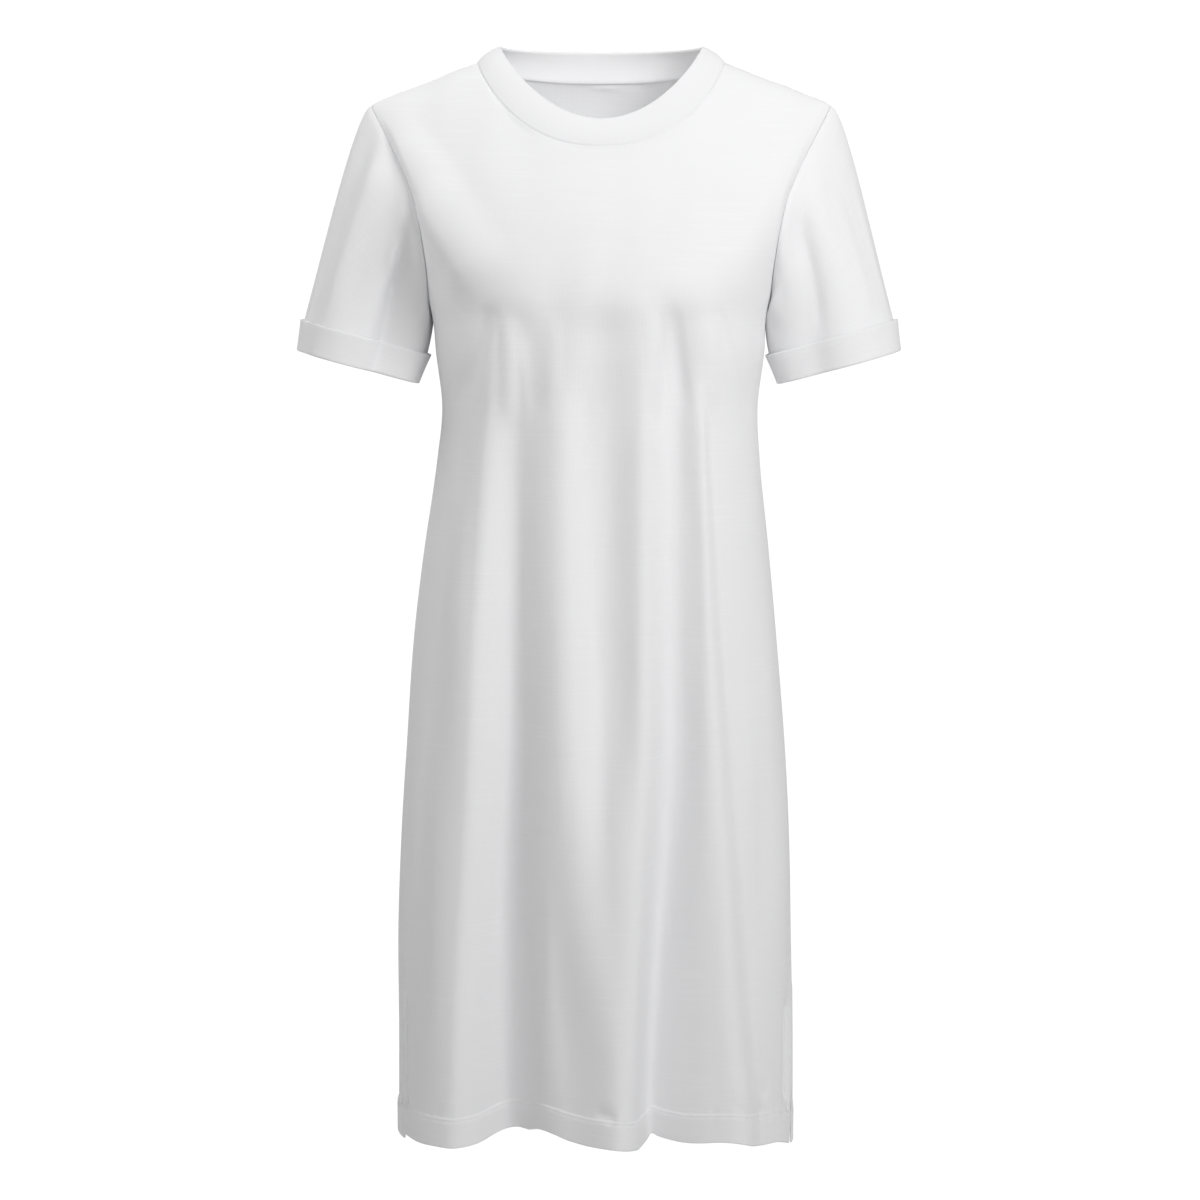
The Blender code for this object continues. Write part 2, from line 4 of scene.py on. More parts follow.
import bpy
import numpy as np
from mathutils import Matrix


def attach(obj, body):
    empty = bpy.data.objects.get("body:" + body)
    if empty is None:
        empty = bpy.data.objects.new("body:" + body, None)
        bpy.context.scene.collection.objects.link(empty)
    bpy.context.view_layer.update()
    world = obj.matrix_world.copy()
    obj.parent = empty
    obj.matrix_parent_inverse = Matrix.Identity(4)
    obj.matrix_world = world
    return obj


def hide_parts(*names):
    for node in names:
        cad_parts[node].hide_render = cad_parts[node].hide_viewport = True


# A knee-length t-shirt dress in slub cotton jersey, hollow as worn.
# Metres, +Z up, the front faces -Y. The pieces are laid on the frame's own form from the same
# sizes, then given the slack of the cloth, its creases, turned edges and stitches.

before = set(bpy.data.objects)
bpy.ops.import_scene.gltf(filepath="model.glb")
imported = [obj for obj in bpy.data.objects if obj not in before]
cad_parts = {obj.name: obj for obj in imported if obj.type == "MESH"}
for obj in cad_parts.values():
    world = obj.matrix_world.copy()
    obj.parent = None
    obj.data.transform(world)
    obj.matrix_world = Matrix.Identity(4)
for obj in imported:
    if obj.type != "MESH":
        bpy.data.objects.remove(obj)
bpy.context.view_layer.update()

LEFT, RIGHT = -1.0, 1.0


def table(columns, *rows):
    """A short table, with its columns named."""
    row_of = namedtuple("Row", columns)
    return tuple(row_of(*row) for row in rows)


# ---- sizes of the dress

CLOTH = 0.0009  # one layer of jersey, a little thick so that it reads
HEM_CLOTH = 0.0017  # the hem is turned in, so it is two layers
BAND_CLOTH = 0.0021
CUFF_CLOTH = 0.0014

HEM = -0.926
HEM_ALLOWANCE = 0.025
SLIT_TOP = -0.802
UNDERARM = -0.2204
NECK_POINT = -0.002
SHOULDER_TIP = -0.0372

NECK_SEAM_SIN = 0.484
NECK_ROUNDNESS = 2.4
NECK_EASE = 0.76
FRONT_NECK_DROP = 0.0750
BACK_NECK_DROP = 0.0118
BAND_CENTRE_X = 0.002
BAND_HALF_WIDTH = 0.0865
BAND_TOP = 0.0120
BAND_FRONT_DEPTH = 0.066
BAND_BACK_DEPTH = 0.061
BAND_FRONT_DROP = 0.0643
BAND_BACK_DROP = 0.0010
BAND_CROWN = 0.0016
BAND_DIP = 1.72

CUFF_HEIGHT = 0.026
CUFF_FLARE = 0.0014
CUFF_STAND = 0.0006  # air between the sleeve and its turned-up cuff
SLEEVE_LEAN = math.radians(15.3)
SLEEVE_END = (0.2080, 0.0, -0.2620)
SLEEVE_HALF_WIDTH = 0.0528
SLEEVE_HALF_DEPTH = 0.0450
SLEEVE_TAPER = 0.04
CROWN_HANDLE = (0.0130, 0.0, -0.0070)
SIDE_HANDLE = (0.0250, 0.0100, -0.0330)
UNDER_HANDLE = (0.0010, 0.0, -0.0080)
END_HANDLE_SHARE = 0.40

# ---- grids of points

NECK_COLUMNS = 46
SHOULDER_COLUMNS = 30
NECK_POINT_COLUMN = 0.56
SKIRT_ROWS = 120
HEM_ROWS = 44  # from the hem to just above its stitching
HEM_ROWS_TOP = 0.034  # height over which those rows lie
YOKE_ROWS = 56
SLEEVE_ROWS = 70
CUFF_ROWS = 14
BAND_ROWS = 16
RIM_LINES = 3  # lines of points round a turned edge
ANGLE_STEP = 1e-4
HEIGHT_STEP = 1e-5
TINY = 1e-12
STEEPEST_FACING = 0.3  # cosine past which turned cloth keeps the normal of its form
SEAM_INSET = 0.0019  # share of half a panel left for the round of its edge
SEAM_GAP = 0.0005  # and what is left of that at the side seams
COLUMN_LEAN = 1.5
ROW_BEND = 1.6
YOKE_CROWDING = 0.6
SLEEVE_CROWDING = 1.15
HEM_SWAY = 3.0
WIDEST_FOLD_SINE = 0.98


# A level section of the dress; front and back meet at its widest points.
SECTIONS = table(
    "height half_width front_depth back_depth squareness shift left_seam right_seam",
    (-0.945, 0.1725, 0.107, 0.112, 2.3, -0.0026, 17, 9),
    (-0.87, 0.1722, 0.108, 0.113, 2.3, -0.0032, 16, 8),
    (-0.78, 0.1718, 0.109, 0.113, 2.3, -0.004, 14, 7),
    (-0.69, 0.17, 0.11, 0.112, 2.3, -0.0035, 11, 5),
    (-0.587, 0.1643, 0.11, 0.109, 2.28, -0.0026, 8, 3),
    (-0.482, 0.156, 0.109, 0.103, 2.25, -0.0032, 5, 1),
    (-0.412, 0.1483, 0.109, 0.096, 2.25, -0.002, 3, 0),
    (-0.343, 0.1394, 0.112, 0.088, 2.25, -0.0004, 1, 0),
    (-0.297, 0.1358, 0.1165, 0.086, 2.28, 0.001, 0, 0),
    (-0.248, 0.1412, 0.1245, 0.089, 2.36, 0.001, 0, 0),
    (UNDERARM, 0.1435, 0.1276, 0.092, 2.4, 0.0005, 0, 0),
    (-0.205, 0.148, 0.1284, 0.0935, 2.4, 0.0005, 0, 0),
    (-0.178, 0.157, 0.1262, 0.095, 2.4, 0.0008, 0, 0),
    (-0.15, 0.17, 0.1185, 0.0955, 2.4, 0.001, 0, 0),
    (-0.119, 0.185, 0.105, 0.095, 2.4, 0.0012, 0, 0),
    (-0.077, 0.202, 0.083, 0.091, 2.4, 0.0015, 0, 0),
    (-0.038, 0.2125, 0.067, 0.086, 2.4, 0.0018, 0, 0),
    (0.02, 0.222, 0.05, 0.08, 2.4, 0.002, 0, 0),
)

# Where the armhole seam runs, seen from the front.
ARMHOLE = table(
    "height half_width",
    (UNDERARM, 0.1435),
    (-0.209, 0.1455),
    (-0.178, 0.1478),
    (-0.15, 0.1517),
    (-0.119, 0.1585),
    (-0.096, 0.168),
    (-0.068, 0.182),
    (-0.044, 0.1945),
    (SHOULDER_TIP, 0.1975),
)

# A soft upright fold: a ridge where it stands out, a valley where that is negative.
FOLD = "top foot across_top across_foot half_width_top half_width_foot out_top out_foot hem_drop"
RUNS_OUT = -0.950
FRONT_FOLDS = table(
    FOLD,
    (-0.211, RUNS_OUT, -0.08, -0.124, 0.0335, 0.084, 0.0075, 0.015, 0),
    (-0.217, RUNS_OUT, -0.07, -0.079, 0.0205, 0.048, -0.0012, -0.051, -0.007),
    (-0.252, -0.859, -0.035, -0.013, 0.0245, 0.038, 0.0038, 0.026, 0),
    (-0.19, -0.7, 0.004, 0.02, 0.04, 0.034, -0.0035, -0.0185, 0),
    (-0.26, RUNS_OUT, 0.056, 0.007, 0.049, 0.0565, 0.0025, 0.036, -0.007),
    (-0.186, RUNS_OUT, 0.061, 0.066, 0.031, 0.0325, -0.012, -0.0285, -0.001),
    (-0.249, RUNS_OUT, 0.078, 0.119, 0.012, 0.034, 0.0055, 0.0135, 0),
)

BACK_FOLDS = table(
    FOLD,
    (-0.26, RUNS_OUT, -0.092, -0.118, 0.03, 0.038, 0.003, 0.013, 0.001),
    (-0.23, RUNS_OUT, -0.056, -0.07, 0.028, 0.036, -0.004, -0.018, -0.004),
    (-0.27, RUNS_OUT, -0.016, -0.022, 0.03, 0.04, 0.004, 0.013, 0.001),
    (-0.23, RUNS_OUT, 0.024, 0.03, 0.03, 0.034, -0.005, -0.017, -0.004),
    (-0.26, RUNS_OUT, 0.066, 0.084, 0.03, 0.04, 0.004, 0.014, 0.001),
    (-0.42, RUNS_OUT, 0.112, 0.13, 0.024, 0.026, -0.003, -0.009, -0.001),
)
FOLD_START = 0.10
FOLD_END = 0.40

# A fold that hangs over sideways, more and more towards the hem.
LEAN = "top across half_width over"
FRONT_LEANS = table(
    LEAN,
    (-0.1, -0.078, 0.03, -0.006),
    (-0.7, -0.012, 0.048, 0.012),
    (-0.56, 0.06, 0.036, -0.014),
)
BACK_LEANS = table(
    LEAN,
    (-0.74, -0.03, 0.03, -0.004),
)

# A soft trough or ridge along a bowed line; spread is how many times wider it is at its end.
CREASE = ("across_start height_start across_end height_end bow left_width right_width spread "
          "out")
FRONT_CREASES = table(
    CREASE,
    (-0.187, -0.044, -0.1, -0.198, 0, 0.011, 0.026, 2, 0.0062),
    (-0.156, -0.106, -0.096, -0.206, -0.001, 0.024, 0.04, 1.2, 0.005),
    (-0.13, -0.178, -0.02, -0.204, -0.006, 0.03, 0.05, 1, 0.0026),
    (-0.045, -0.204, 0.062, -0.201, 0, 0.032, 0.05, 1, 0.002),
    (0.035, -0.204, 0.134, -0.176, -0.006, 0.03, 0.05, 1, 0.0022),
    (0.102, -0.202, 0.183, -0.052, 0.002, 0.05, 0.03, 0.5, 0.003),
    (-0.089, -0.201, -0.122, -0.301, 0.002, 0.009, 0.01, 1.2, -0.0026),
    (-0.0765, -0.205, -0.076, -0.315, 0.001, 0.009, 0.01, 1.2, 0.0026),
    (-0.061, -0.215, -0.051, -0.315, 0.001, 0.009, 0.012, 1.2, -0.0018),
    (-0.04, -0.21, -0.037, -0.29, 0.001, 0.01, 0.01, 1, 0.0012),
    (0.043, -0.206, 0.049, -0.305, 0, 0.01, 0.009, 1, 0.002),
    (0.061, -0.204, 0.073, -0.305, -0.001, 0.009, 0.009, 1, -0.0022),
    (0.091, -0.212, 0.096, -0.305, 0.001, 0.009, 0.008, 1, 0.0016),
    (0.0985, -0.206, 0.13, -0.318, 0.002, 0.005, 0.005, 1, -0.0016),
    (-0.118, -0.33, -0.126, -0.52, 0.002, 0.012, 0.014, 1, 0.0012),
    (0.074, -0.33, 0.086, -0.56, 0.002, 0.011, 0.012, 1, -0.001),
    (-0.018, -0.42, -0.012, -0.7, -0.002, 0.012, 0.015, 1, 0.0008),
    (0.136, -0.47, 0.145, -0.76, -0.002, 0.01, 0.012, 1, -0.001),
    (-0.148, -0.56, -0.156, -0.86, 0.002, 0.01, 0.012, 1, -0.001),
    (0.112, -0.872, 0.14, -0.902, 0.002, 0.01, 0.012, 1, 0.002),
    (0.136, -0.878, 0.146, -0.89, 0, 0.008, 0.008, 1, -0.0022),
    (-0.005, -0.886, 0.016, -0.893, 0.001, 0.007, 0.01, 1, -0.0018),
)
BACK_CREASES = table(
    CREASE,
    (-0.136, -0.215, -0.076, -0.15, -0.004, 0.012, 0.01, 1, -0.0018),
    (0.138, -0.212, 0.082, -0.14, 0.004, 0.012, 0.01, 1, -0.0016),
    (-0.12, -0.262, -0.05, -0.236, -0.003, 0.014, 0.01, 1, 0.0018),
    (0.122, -0.27, 0.04, -0.246, 0.004, 0.01, 0.013, 1, 0.0016),
    (-0.07, -0.3, 0.035, -0.312, 0.006, 0.011, 0.013, 1, 0.0013),
    (-0.09, -0.35, -0.098, -0.56, 0.002, 0.012, 0.012, 1, 0.0014),
    (0.006, -0.38, 0.01, -0.64, 0.002, 0.012, 0.014, 1, -0.0013),
    (0.102, -0.42, 0.118, -0.7, -0.002, 0.01, 0.013, 1, 0.0014),
    (-0.04, -0.6, -0.048, -0.88, 0.001, 0.012, 0.012, 1, -0.0013),
    (0.144, -0.56, 0.152, -0.8, 0.002, 0.01, 0.01, 1, -0.0013),
    (-0.011, -0.018, 0.021, -0.018, -0.001, 0.003, 0.003, 1, -0.0014),
)
CREASE_FADE = 0.30

# A fold down a sleeve, by how far round it lies: 0 outside, 90 in front, 180 inside.
SLEEVE_FOLD = "turn_top turn_foot half_turn out"
SLEEVE_FOLDS = {
    LEFT: table(
        SLEEVE_FOLD,
        (24, 30, 20, -0.0025),
        (46, 56, 24, 0.0055),
        (76, 82, 18, -0.003),
        (116, 112, 42, -0.023),
        (152, 152, 20, 0.002),
        (250, 244, 34, -0.004),
        (300, 298, 30, 0.0025),
    ),
    RIGHT: table(
        SLEEVE_FOLD,
        (88, 112, 30, -0.012),
        (60, 68, 24, 0.003),
        (152, 160, 30, 0.0062),
        (240, 250, 32, -0.0035),
        (288, 294, 32, 0.003),
    ),
}
SLEEVE_FOLD_AT_CUFF = 0.55
SLEEVE_FOLD_GROWN = 0.33

# A finer crease on a sleeve, between two shares of its length.
SLEEVE_CREASE = "turn_start share_start turn_end share_end half_turn out"
SLEEVE_CREASES = {
    LEFT: table(
        SLEEVE_CREASE,
        (82, 0.04, 96, 0.6, 9, 0.0022),
        (48, 0.02, 60, 1.1, 13, 0.003),
        (126, 0.15, 126, 1.3, 34, -0.011),
        (20, 0.78, 22, 1.1, 7, 0.0014),
        (216, 0.2, 208, 0.92, 12, -0.0014),
        (276, 0.1, 268, 0.7, 10, 0.0012),
    ),
    RIGHT: table(
        SLEEVE_CREASE,
        (84, 0.22, 104, 1, 8, -0.0018),
        (44, 0.25, 50, 1.02, 9, 0.0012),
        (18, 0.4, 24, 1.05, 8, 0.001),
        (142, 0.12, 134, 0.76, 11, 0.0014),
        (222, 0.15, 214, 0.86, 12, -0.0014),
        (262, 0.12, 270, 0.74, 10, 0.0012),
    ),
}

# How much higher the front's hem was cut at a place across it.
HEM_TRIM = table(
    "across rise",
    (-0.17, 0.006), (-0.156, 0.0014), (-0.14, 0), (-0.07, 0.0008),
    (-0.059, 0.004), (-0.052, 0.0088), (-0.044, 0.0108), (-0.036, 0.01),
    (-0.025, 0.0062), (-0.012, 0.0026), (0.006, 0), (0.03, -0.0018),
    (0.04, -0.0008), (0.044, 0.004), (0.052, 0.0024), (0.066, 0.0008),
    (0.124, 0.0024), (0.134, -0.001), (0.154, 0.0016),
)

# Front or back: where its centre lies round the section, and what shapes it.
Panel = namedtuple("Panel", (
    "name centre side depth shoulder_roll neck_drop hem_centre hem_left hem_right folds leans "
    "creases"))
FRONT = Panel("front", 0.0, -1.0, "front_depth", 0.100, FRONT_NECK_DROP,
              -0.9215, -0.9305, -0.9370, FRONT_FOLDS, FRONT_LEANS, FRONT_CREASES)
BACK = Panel("back", 180.0, 1.0, "back_depth", 0.075, BACK_NECK_DROP,
             -0.9250, -0.9300, -0.9370, BACK_FOLDS, BACK_LEANS, BACK_CREASES)

SLIT_OPENING = {"front": (0.25, 5.5), "back": (0.25, -1.8)}  # left and right, degrees at the hem
SLIT_GAPE = 3.0
SLIT_DENT = 0.0050  # how far the front sinks in beside its turned right slit edge
SLIT_DENT_PLACE = 0.0110
SLIT_DENT_REACH = 0.0125
SLIT_FACING = 0.009  # cloth turned in along a slit, held by its topstitching

SEAM_DIP = 0.0009  # how far the cloth is drawn in at a seam
SEAM_REACH = 0.0030
SLEEVE_SEAM_SHARE = 0.25  # a sleeve is drawn in less than a panel
HEM_STEP_OUT = 0.0016  # the hem's two layers stand out from the skirt
STITCH_DIP = 0.0005  # how far a row of stitches draws the cloth in
STITCH_REACH = 0.0016
PUCKER = 0.0003  # small waves that the sewing leaves along a row of stitches
PUCKER_LENGTH = 0.011
PUCKER_REACH = 0.012
NEEDLE_GAP = 0.0016  # from the hem's inner edge to its stitches
FACING_SHARE = 0.7  # a slit's turned edge stands out this much as far as the hem
HEM_EASE = 0.0015  # lengths over which these come in, and creases and slack fade out
FACING_EASE = 0.0018
SLIT_EASE = 0.006
CREASE_EASE = 0.008
TOP_EASE = 0.010
SLACK_EASE = 0.02


# ---- curves and the dress's form

def smooth_curve(knots, values, places):
    """Read a smooth curve through (knots, values); knots rise."""
    steps, rises = np.diff(knots), np.diff(values)
    slopes = rises / steps
    inner = (slopes[:-1] * steps[1:] + slopes[1:] * steps[:-1]) / (steps[1:] + steps[:-1])
    tangents = np.concatenate([slopes[:1], inner, slopes[-1:]])
    places = np.clip(places, knots[0], knots[-1])
    cell = np.clip(np.searchsorted(knots, places, side="right") - 1, 0, len(steps) - 1)
    t = (places - np.take(knots, cell)) / steps[cell]
    rise, leave, arrive = rises[cell], tangents[cell] * steps[cell], tangents[cell + 1] * steps[cell]
    bend = 3.0 * rise - 2.0 * leave - arrive + t * (leave + arrive - 2.0 * rise)
    return np.take(values, cell) + t * (leave + t * bend)


def read(rows, along, column, places):
    """Read one column of a table as a smooth curve along another, which rises."""
    return smooth_curve([getattr(row, along) for row in rows],
                        [getattr(row, column) for row in rows], places)


def yoke_shares():
    """Shares of the armhole's length at which the yoke's rows leave it."""
    even = np.linspace(0.0, 1.0, YOKE_ROWS + 1)
    crowded = (1.0 - np.cos(math.pi * even)) / 2.0
    return even + YOKE_CROWDING * (crowded - even)


def unit(vectors):
    """Vectors of length 1 in the same directions."""
    return vectors / (np.linalg.norm(vectors, axis=-1, keepdims=True) + TINY)


def lengths_so_far(steps):
    """Length of a line up to each of its points, from the steps between them."""
    return np.cumsum(np.pad(np.linalg.norm(steps, axis=-1), (1, 0)))


def smooth_step(share):
    """Rise from 0 to 1 without a corner."""
    share = np.clip(share, 0.0, 1.0)
    return share * share * (3.0 - 2.0 * share)


def hump(distance):
    """A soft hump, 1 at distance 0 and gone at 1."""
    return np.clip(1.0 - distance**2, 0.0, 1.0)**2


def section_value(column, height):
    """One column of the section table at any height."""
    return read(SECTIONS, "height", column, height)


def shoulder_height(sine):
    """Height of the shoulder line, by the sine of the section angle."""
    tip_sine = ARMHOLE[-1].half_width / float(section_value("half_width", SHOULDER_TIP))
    fall = (NECK_POINT - SHOULDER_TIP) / (tip_sine - NECK_SEAM_SIN)
    over_neck = NECK_POINT + fall * (NECK_SEAM_SIN**2 - sine**2) / (2.0 * NECK_SEAM_SIN)
    over_shoulder = NECK_POINT - fall * (sine - NECK_SEAM_SIN)
    return np.where(sine < NECK_SEAM_SIN, over_neck, over_shoulder)


def fold_bump(fold, angle, height, half_width, depth):
    """How much of a fold is felt at each place, from 0 to 1, and how far down it is."""
    share = (fold.top - height) / (fold.top - fold.foot)
    down = np.clip(share, 0.0, 1.0)
    across = fold.across_top + (fold.across_foot - fold.across_top) * down
    width = fold.half_width_top + (fold.half_width_foot - fold.half_width_top) * down
    middle = np.arcsin(np.clip(across / half_width, -WIDEST_FOLD_SINE, WIDEST_FOLD_SINE))
    per_radian = np.hypot(half_width * np.cos(middle), depth * np.sin(middle))
    offset = np.clip((angle - middle) * per_radian / width, -1.0, 1.0)
    grown = smooth_step(share / FOLD_START)
    if fold.foot > HEM:
        grown = grown * smooth_step((1.0 - share) / FOLD_END)
    return 0.5 * (1.0 + np.cos(math.pi * offset)) * grown, down


def body_points(panel, angle, height):
    """Outer points of the dress at each angle round the section and each height."""
    half_width = section_value("half_width", height)
    in_front = np.cos(angle) >= 0.0
    depth = np.where(in_front, section_value("front_depth", height),
                     section_value("back_depth", height))
    power = section_value("squareness", height)
    sine = np.sin(angle)
    below = (shoulder_height(np.abs(sine)) - height) / panel.shoulder_roll
    below = np.clip(below, 0.0, 1.0)
    roll = np.sqrt(below * (2.0 - below))
    level = np.clip(1.0 - np.abs(sine)**power, 0.0, 1.0)**(1.0 / power)
    x = half_width * sine
    y = np.where(in_front, -1.0, 1.0) * depth * level * roll

    pull = np.abs(x)**(power - 1.0) * np.sign(x) / half_width**power
    push = np.abs(y)**(power - 1.0) * np.sign(y) / depth**power
    length = np.hypot(pull, push) + TINY
    from_centre = (angle - math.radians(panel.centre)) * -panel.side
    out = np.zeros_like(x)
    for fold in panel.folds:
        felt, down = fold_bump(fold, from_centre, height, half_width, depth)
        out = out + felt * (fold.out_top + (fold.out_foot - fold.out_top) * down)
    x = x + out * pull / length + section_value("shift", height)
    y = y + out * push / length
    for lean in panel.leans:
        grown = smooth_step((lean.top - height) / (lean.top - HEM))
        x = x + lean.over * grown * hump((x - lean.across) / lean.half_width)
    return np.stack([x, y, height + np.zeros_like(x)], axis=-1)


def body_normals(panel, angle, height):
    """Outward normals of the dress, from how its points move with angle and height."""
    def moves(turn, rise):
        return (body_points(panel, angle + turn, height + rise)
                - body_points(panel, angle - turn, height - rise))
    return unit(np.cross(moves(ANGLE_STEP, 0.0), moves(0.0, HEIGHT_STEP)))


def half_columns():
    """Columns of half a panel, from its centre, 0, to its side, 1."""
    inner = np.linspace(0.0, NECK_POINT_COLUMN, NECK_COLUMNS + 1)
    outer = np.linspace(NECK_POINT_COLUMN, 1.0, SHOULDER_COLUMNS + 1)
    return np.concatenate([inner, outer[1:]])


def panel_columns():
    """Columns of a panel from -1 to 1, drawn in at both sides for the round of the edge."""
    half = half_columns() * (1.0 - SEAM_INSET)
    return np.concatenate([-half[::-1], half[1:]])


def side_angles(panel, height):
    """Angles from the panel's centre to its two side edges at a height, slits included."""
    opened = np.clip((SLIT_TOP - height) / (SLIT_TOP - HEM), 0.0, 1.0)**SLIT_GAPE
    left, right = (90.0 + panel.side * section_value(seam, height) - opening * opened
                   for seam, opening in zip(("left_seam", "right_seam"),
                                            SLIT_OPENING[panel.name]))
    first, last = (left, right) if panel is FRONT else (right, left)
    return np.radians(first), np.radians(last)


def hem_height(panel, columns, angle):
    """Height of the hem: lower at the sides, and lower on a ridge than in a valley."""
    side = np.where(columns * -panel.side < 0.0, panel.hem_left, panel.hem_right)
    height = panel.hem_centre + (side - panel.hem_centre) * np.abs(columns)**HEM_SWAY
    half_width = section_value("half_width", HEM)
    depth = section_value(panel.depth, HEM)
    for fold in panel.folds:
        felt, _ = fold_bump(fold, angle * -panel.side, HEM, half_width, depth)
        height = height - felt * fold.hem_drop
    if panel is FRONT:
        across = body_points(panel, angle, HEM)[:, 0]
        height = height + read(HEM_TRIM, "across", "rise", across)
    return height


def skirt_row(panel, columns, level):
    """Angles and heights of one row below the underarm."""
    first, last = side_angles(panel, level)
    angle = (columns - 1.0) / 2.0 * first + (columns + 1.0) / 2.0 * last
    near_hem = np.clip((SLIT_TOP - level) / (SLIT_TOP - HEM), 0.0, 1.0)
    height = level + (hem_height(panel, columns, angle) - HEM) * near_hem
    return math.radians(panel.centre) + angle, height


def armhole_angle(half_width, height):
    """Angle from the panel's centre at which the armhole crosses a section."""
    share = half_width / section_value("half_width", height)
    return np.arcsin(np.clip(share, 0.0, 1.0))


def armhole_shares():
    """How far along the front armhole each row of its table lies, from 0 to 1."""
    heights, widths = np.array(ARMHOLE).T
    points = body_points(FRONT, armhole_angle(widths, heights), heights)
    down = lengths_so_far(np.diff(points, axis=0))
    return down / down[-1]


def yoke_row(panel, columns, share):
    """Angles and heights of one row between the underarm, 0, and the shoulder and neck, 1."""
    height, width = (smooth_curve(armhole_shares(), values, share)
                     for values in np.array(ARMHOLE).T)
    reach = armhole_angle(width, height)
    tip = float(armhole_angle(ARMHOLE[-1].half_width, SHOULDER_TIP))
    neck = math.asin(NECK_SEAM_SIN)
    size = np.abs(columns)
    round_neck = np.sin(0.5 * math.pi * np.clip(size / NECK_POINT_COLUMN, 0.0, 1.0))
    past_neck = (size - NECK_POINT_COLUMN) / (1.0 - NECK_POINT_COLUMN)
    in_neck = size < NECK_POINT_COLUMN
    at_top = np.where(in_neck, neck * round_neck, neck + (tip - neck) * past_neck)
    spread = share**COLUMN_LEAN
    angle = reach * ((1.0 - spread) * size + spread * at_top / tip) * np.sign(columns)

    dip = np.clip(1.0 - round_neck**NECK_ROUNDNESS, 0.0, 1.0)**NECK_EASE
    top = np.where(in_neck, NECK_POINT - panel.neck_drop * dip,
                   shoulder_height(np.sin(at_top)))
    height = height + share**ROW_BEND * (top - SHOULDER_TIP)
    return math.radians(panel.centre) + angle, height


def skirt_levels():
    """Heights of the rows from the hem to the underarm, close together at the hem."""
    near = np.linspace(HEM, HEM + HEM_ROWS_TOP, HEM_ROWS)
    rest = np.linspace(HEM + HEM_ROWS_TOP, UNDERARM, SKIRT_ROWS + 1)
    return np.concatenate([near, rest[1:]])


def ring_normals(rings):
    """Normals of a tube of rings, one ring to a row."""
    along = np.gradient(rings, axis=0)
    across = np.roll(rings, -1, axis=1) - np.roll(rings, 1, axis=1)
    return unit(np.cross(across, along))


def grid_normals(points, guide):
    """Normals of a panel's grid of points, turned to the same side as the guide."""
    normals = unit(np.cross(np.gradient(points, axis=1), np.gradient(points, axis=0)))
    facing = np.sum(normals * guide, axis=-1, keepdims=True)
    return np.where(np.abs(facing) > STEEPEST_FACING, normals * np.sign(facing), guide)


# ---- the slack of the cloth

def faded(along):
    """1 along a crease, and 0 past its ends."""
    return smooth_step(along / CREASE_FADE) * smooth_step((1.0 - along) / CREASE_FADE)


def crease_relief(creases, across, height):
    """How far a panel's creases move it out at each place."""
    out = np.zeros_like(across)
    for crease in creases:
        run = np.array([crease.across_end - crease.across_start,
                        crease.height_end - crease.height_start])
        length = float(np.hypot(*run))
        along = ((across - crease.across_start) * run[0]
                 + (height - crease.height_start) * run[1]) / length**2
        aside = ((across - crease.across_start) * -run[1]
                 + (height - crease.height_start) * run[0]) / length
        aside = aside - crease.bow * 4.0 * along * (1.0 - along)
        width = np.where(aside > 0.0, crease.right_width, crease.left_width)
        width = width * (1.0 + (crease.spread - 1.0) * np.clip(along, 0.0, 1.0))
        out = out + crease.out * hump(aside / width) * faded(along)
    return out


SLACK_SEEDS = {"front": 7, "back": 11}
WAVES = 26  # slow unevenness of hanging jersey
WAVE_HEIGHT = 0.00035
WAVE_LENGTH_ACROSS = (0.035, 0.110)
WAVE_LENGTH_DOWN = (0.12, 0.60)


def slack_relief(seed, across, height):
    """Slow, low unevenness, drawn out down the cloth."""
    draw = np.random.default_rng(seed)
    out = np.zeros_like(across)
    for _ in range(WAVES):
        wave = 2.0 * math.pi / draw.uniform(*WAVE_LENGTH_ACROSS)
        fall = 2.0 * math.pi / draw.uniform(*WAVE_LENGTH_DOWN) * draw.choice([-1.0, 1.0])
        start = draw.uniform(0.0, 2.0 * math.pi)
        out = out + np.sin(wave * across + fall * height + start)
    return out * WAVE_HEIGHT / math.sqrt(WAVES / 2.0)


def stitch_line(distance):
    """How a row of stitches draws the cloth in, by the distance from it."""
    return -STITCH_DIP * np.exp(-(distance / STITCH_REACH)**2)


def seam_line(distance):
    """How a seam draws the cloth in, by the distance from it."""
    return -SEAM_DIP * np.exp(-(distance / SEAM_REACH)**2)


def edge_distance(points, axis, end):
    """Distance along the grid from one of its edges."""
    lengths = np.linalg.norm(np.diff(points, axis=axis), axis=-1)
    if end:
        lengths = np.flip(lengths, axis=axis)
    start = [(1 - axis, 0), (axis, 0)]
    sums = np.pad(np.cumsum(lengths, axis=axis), start)
    return np.flip(sums, axis=axis) if end else sums


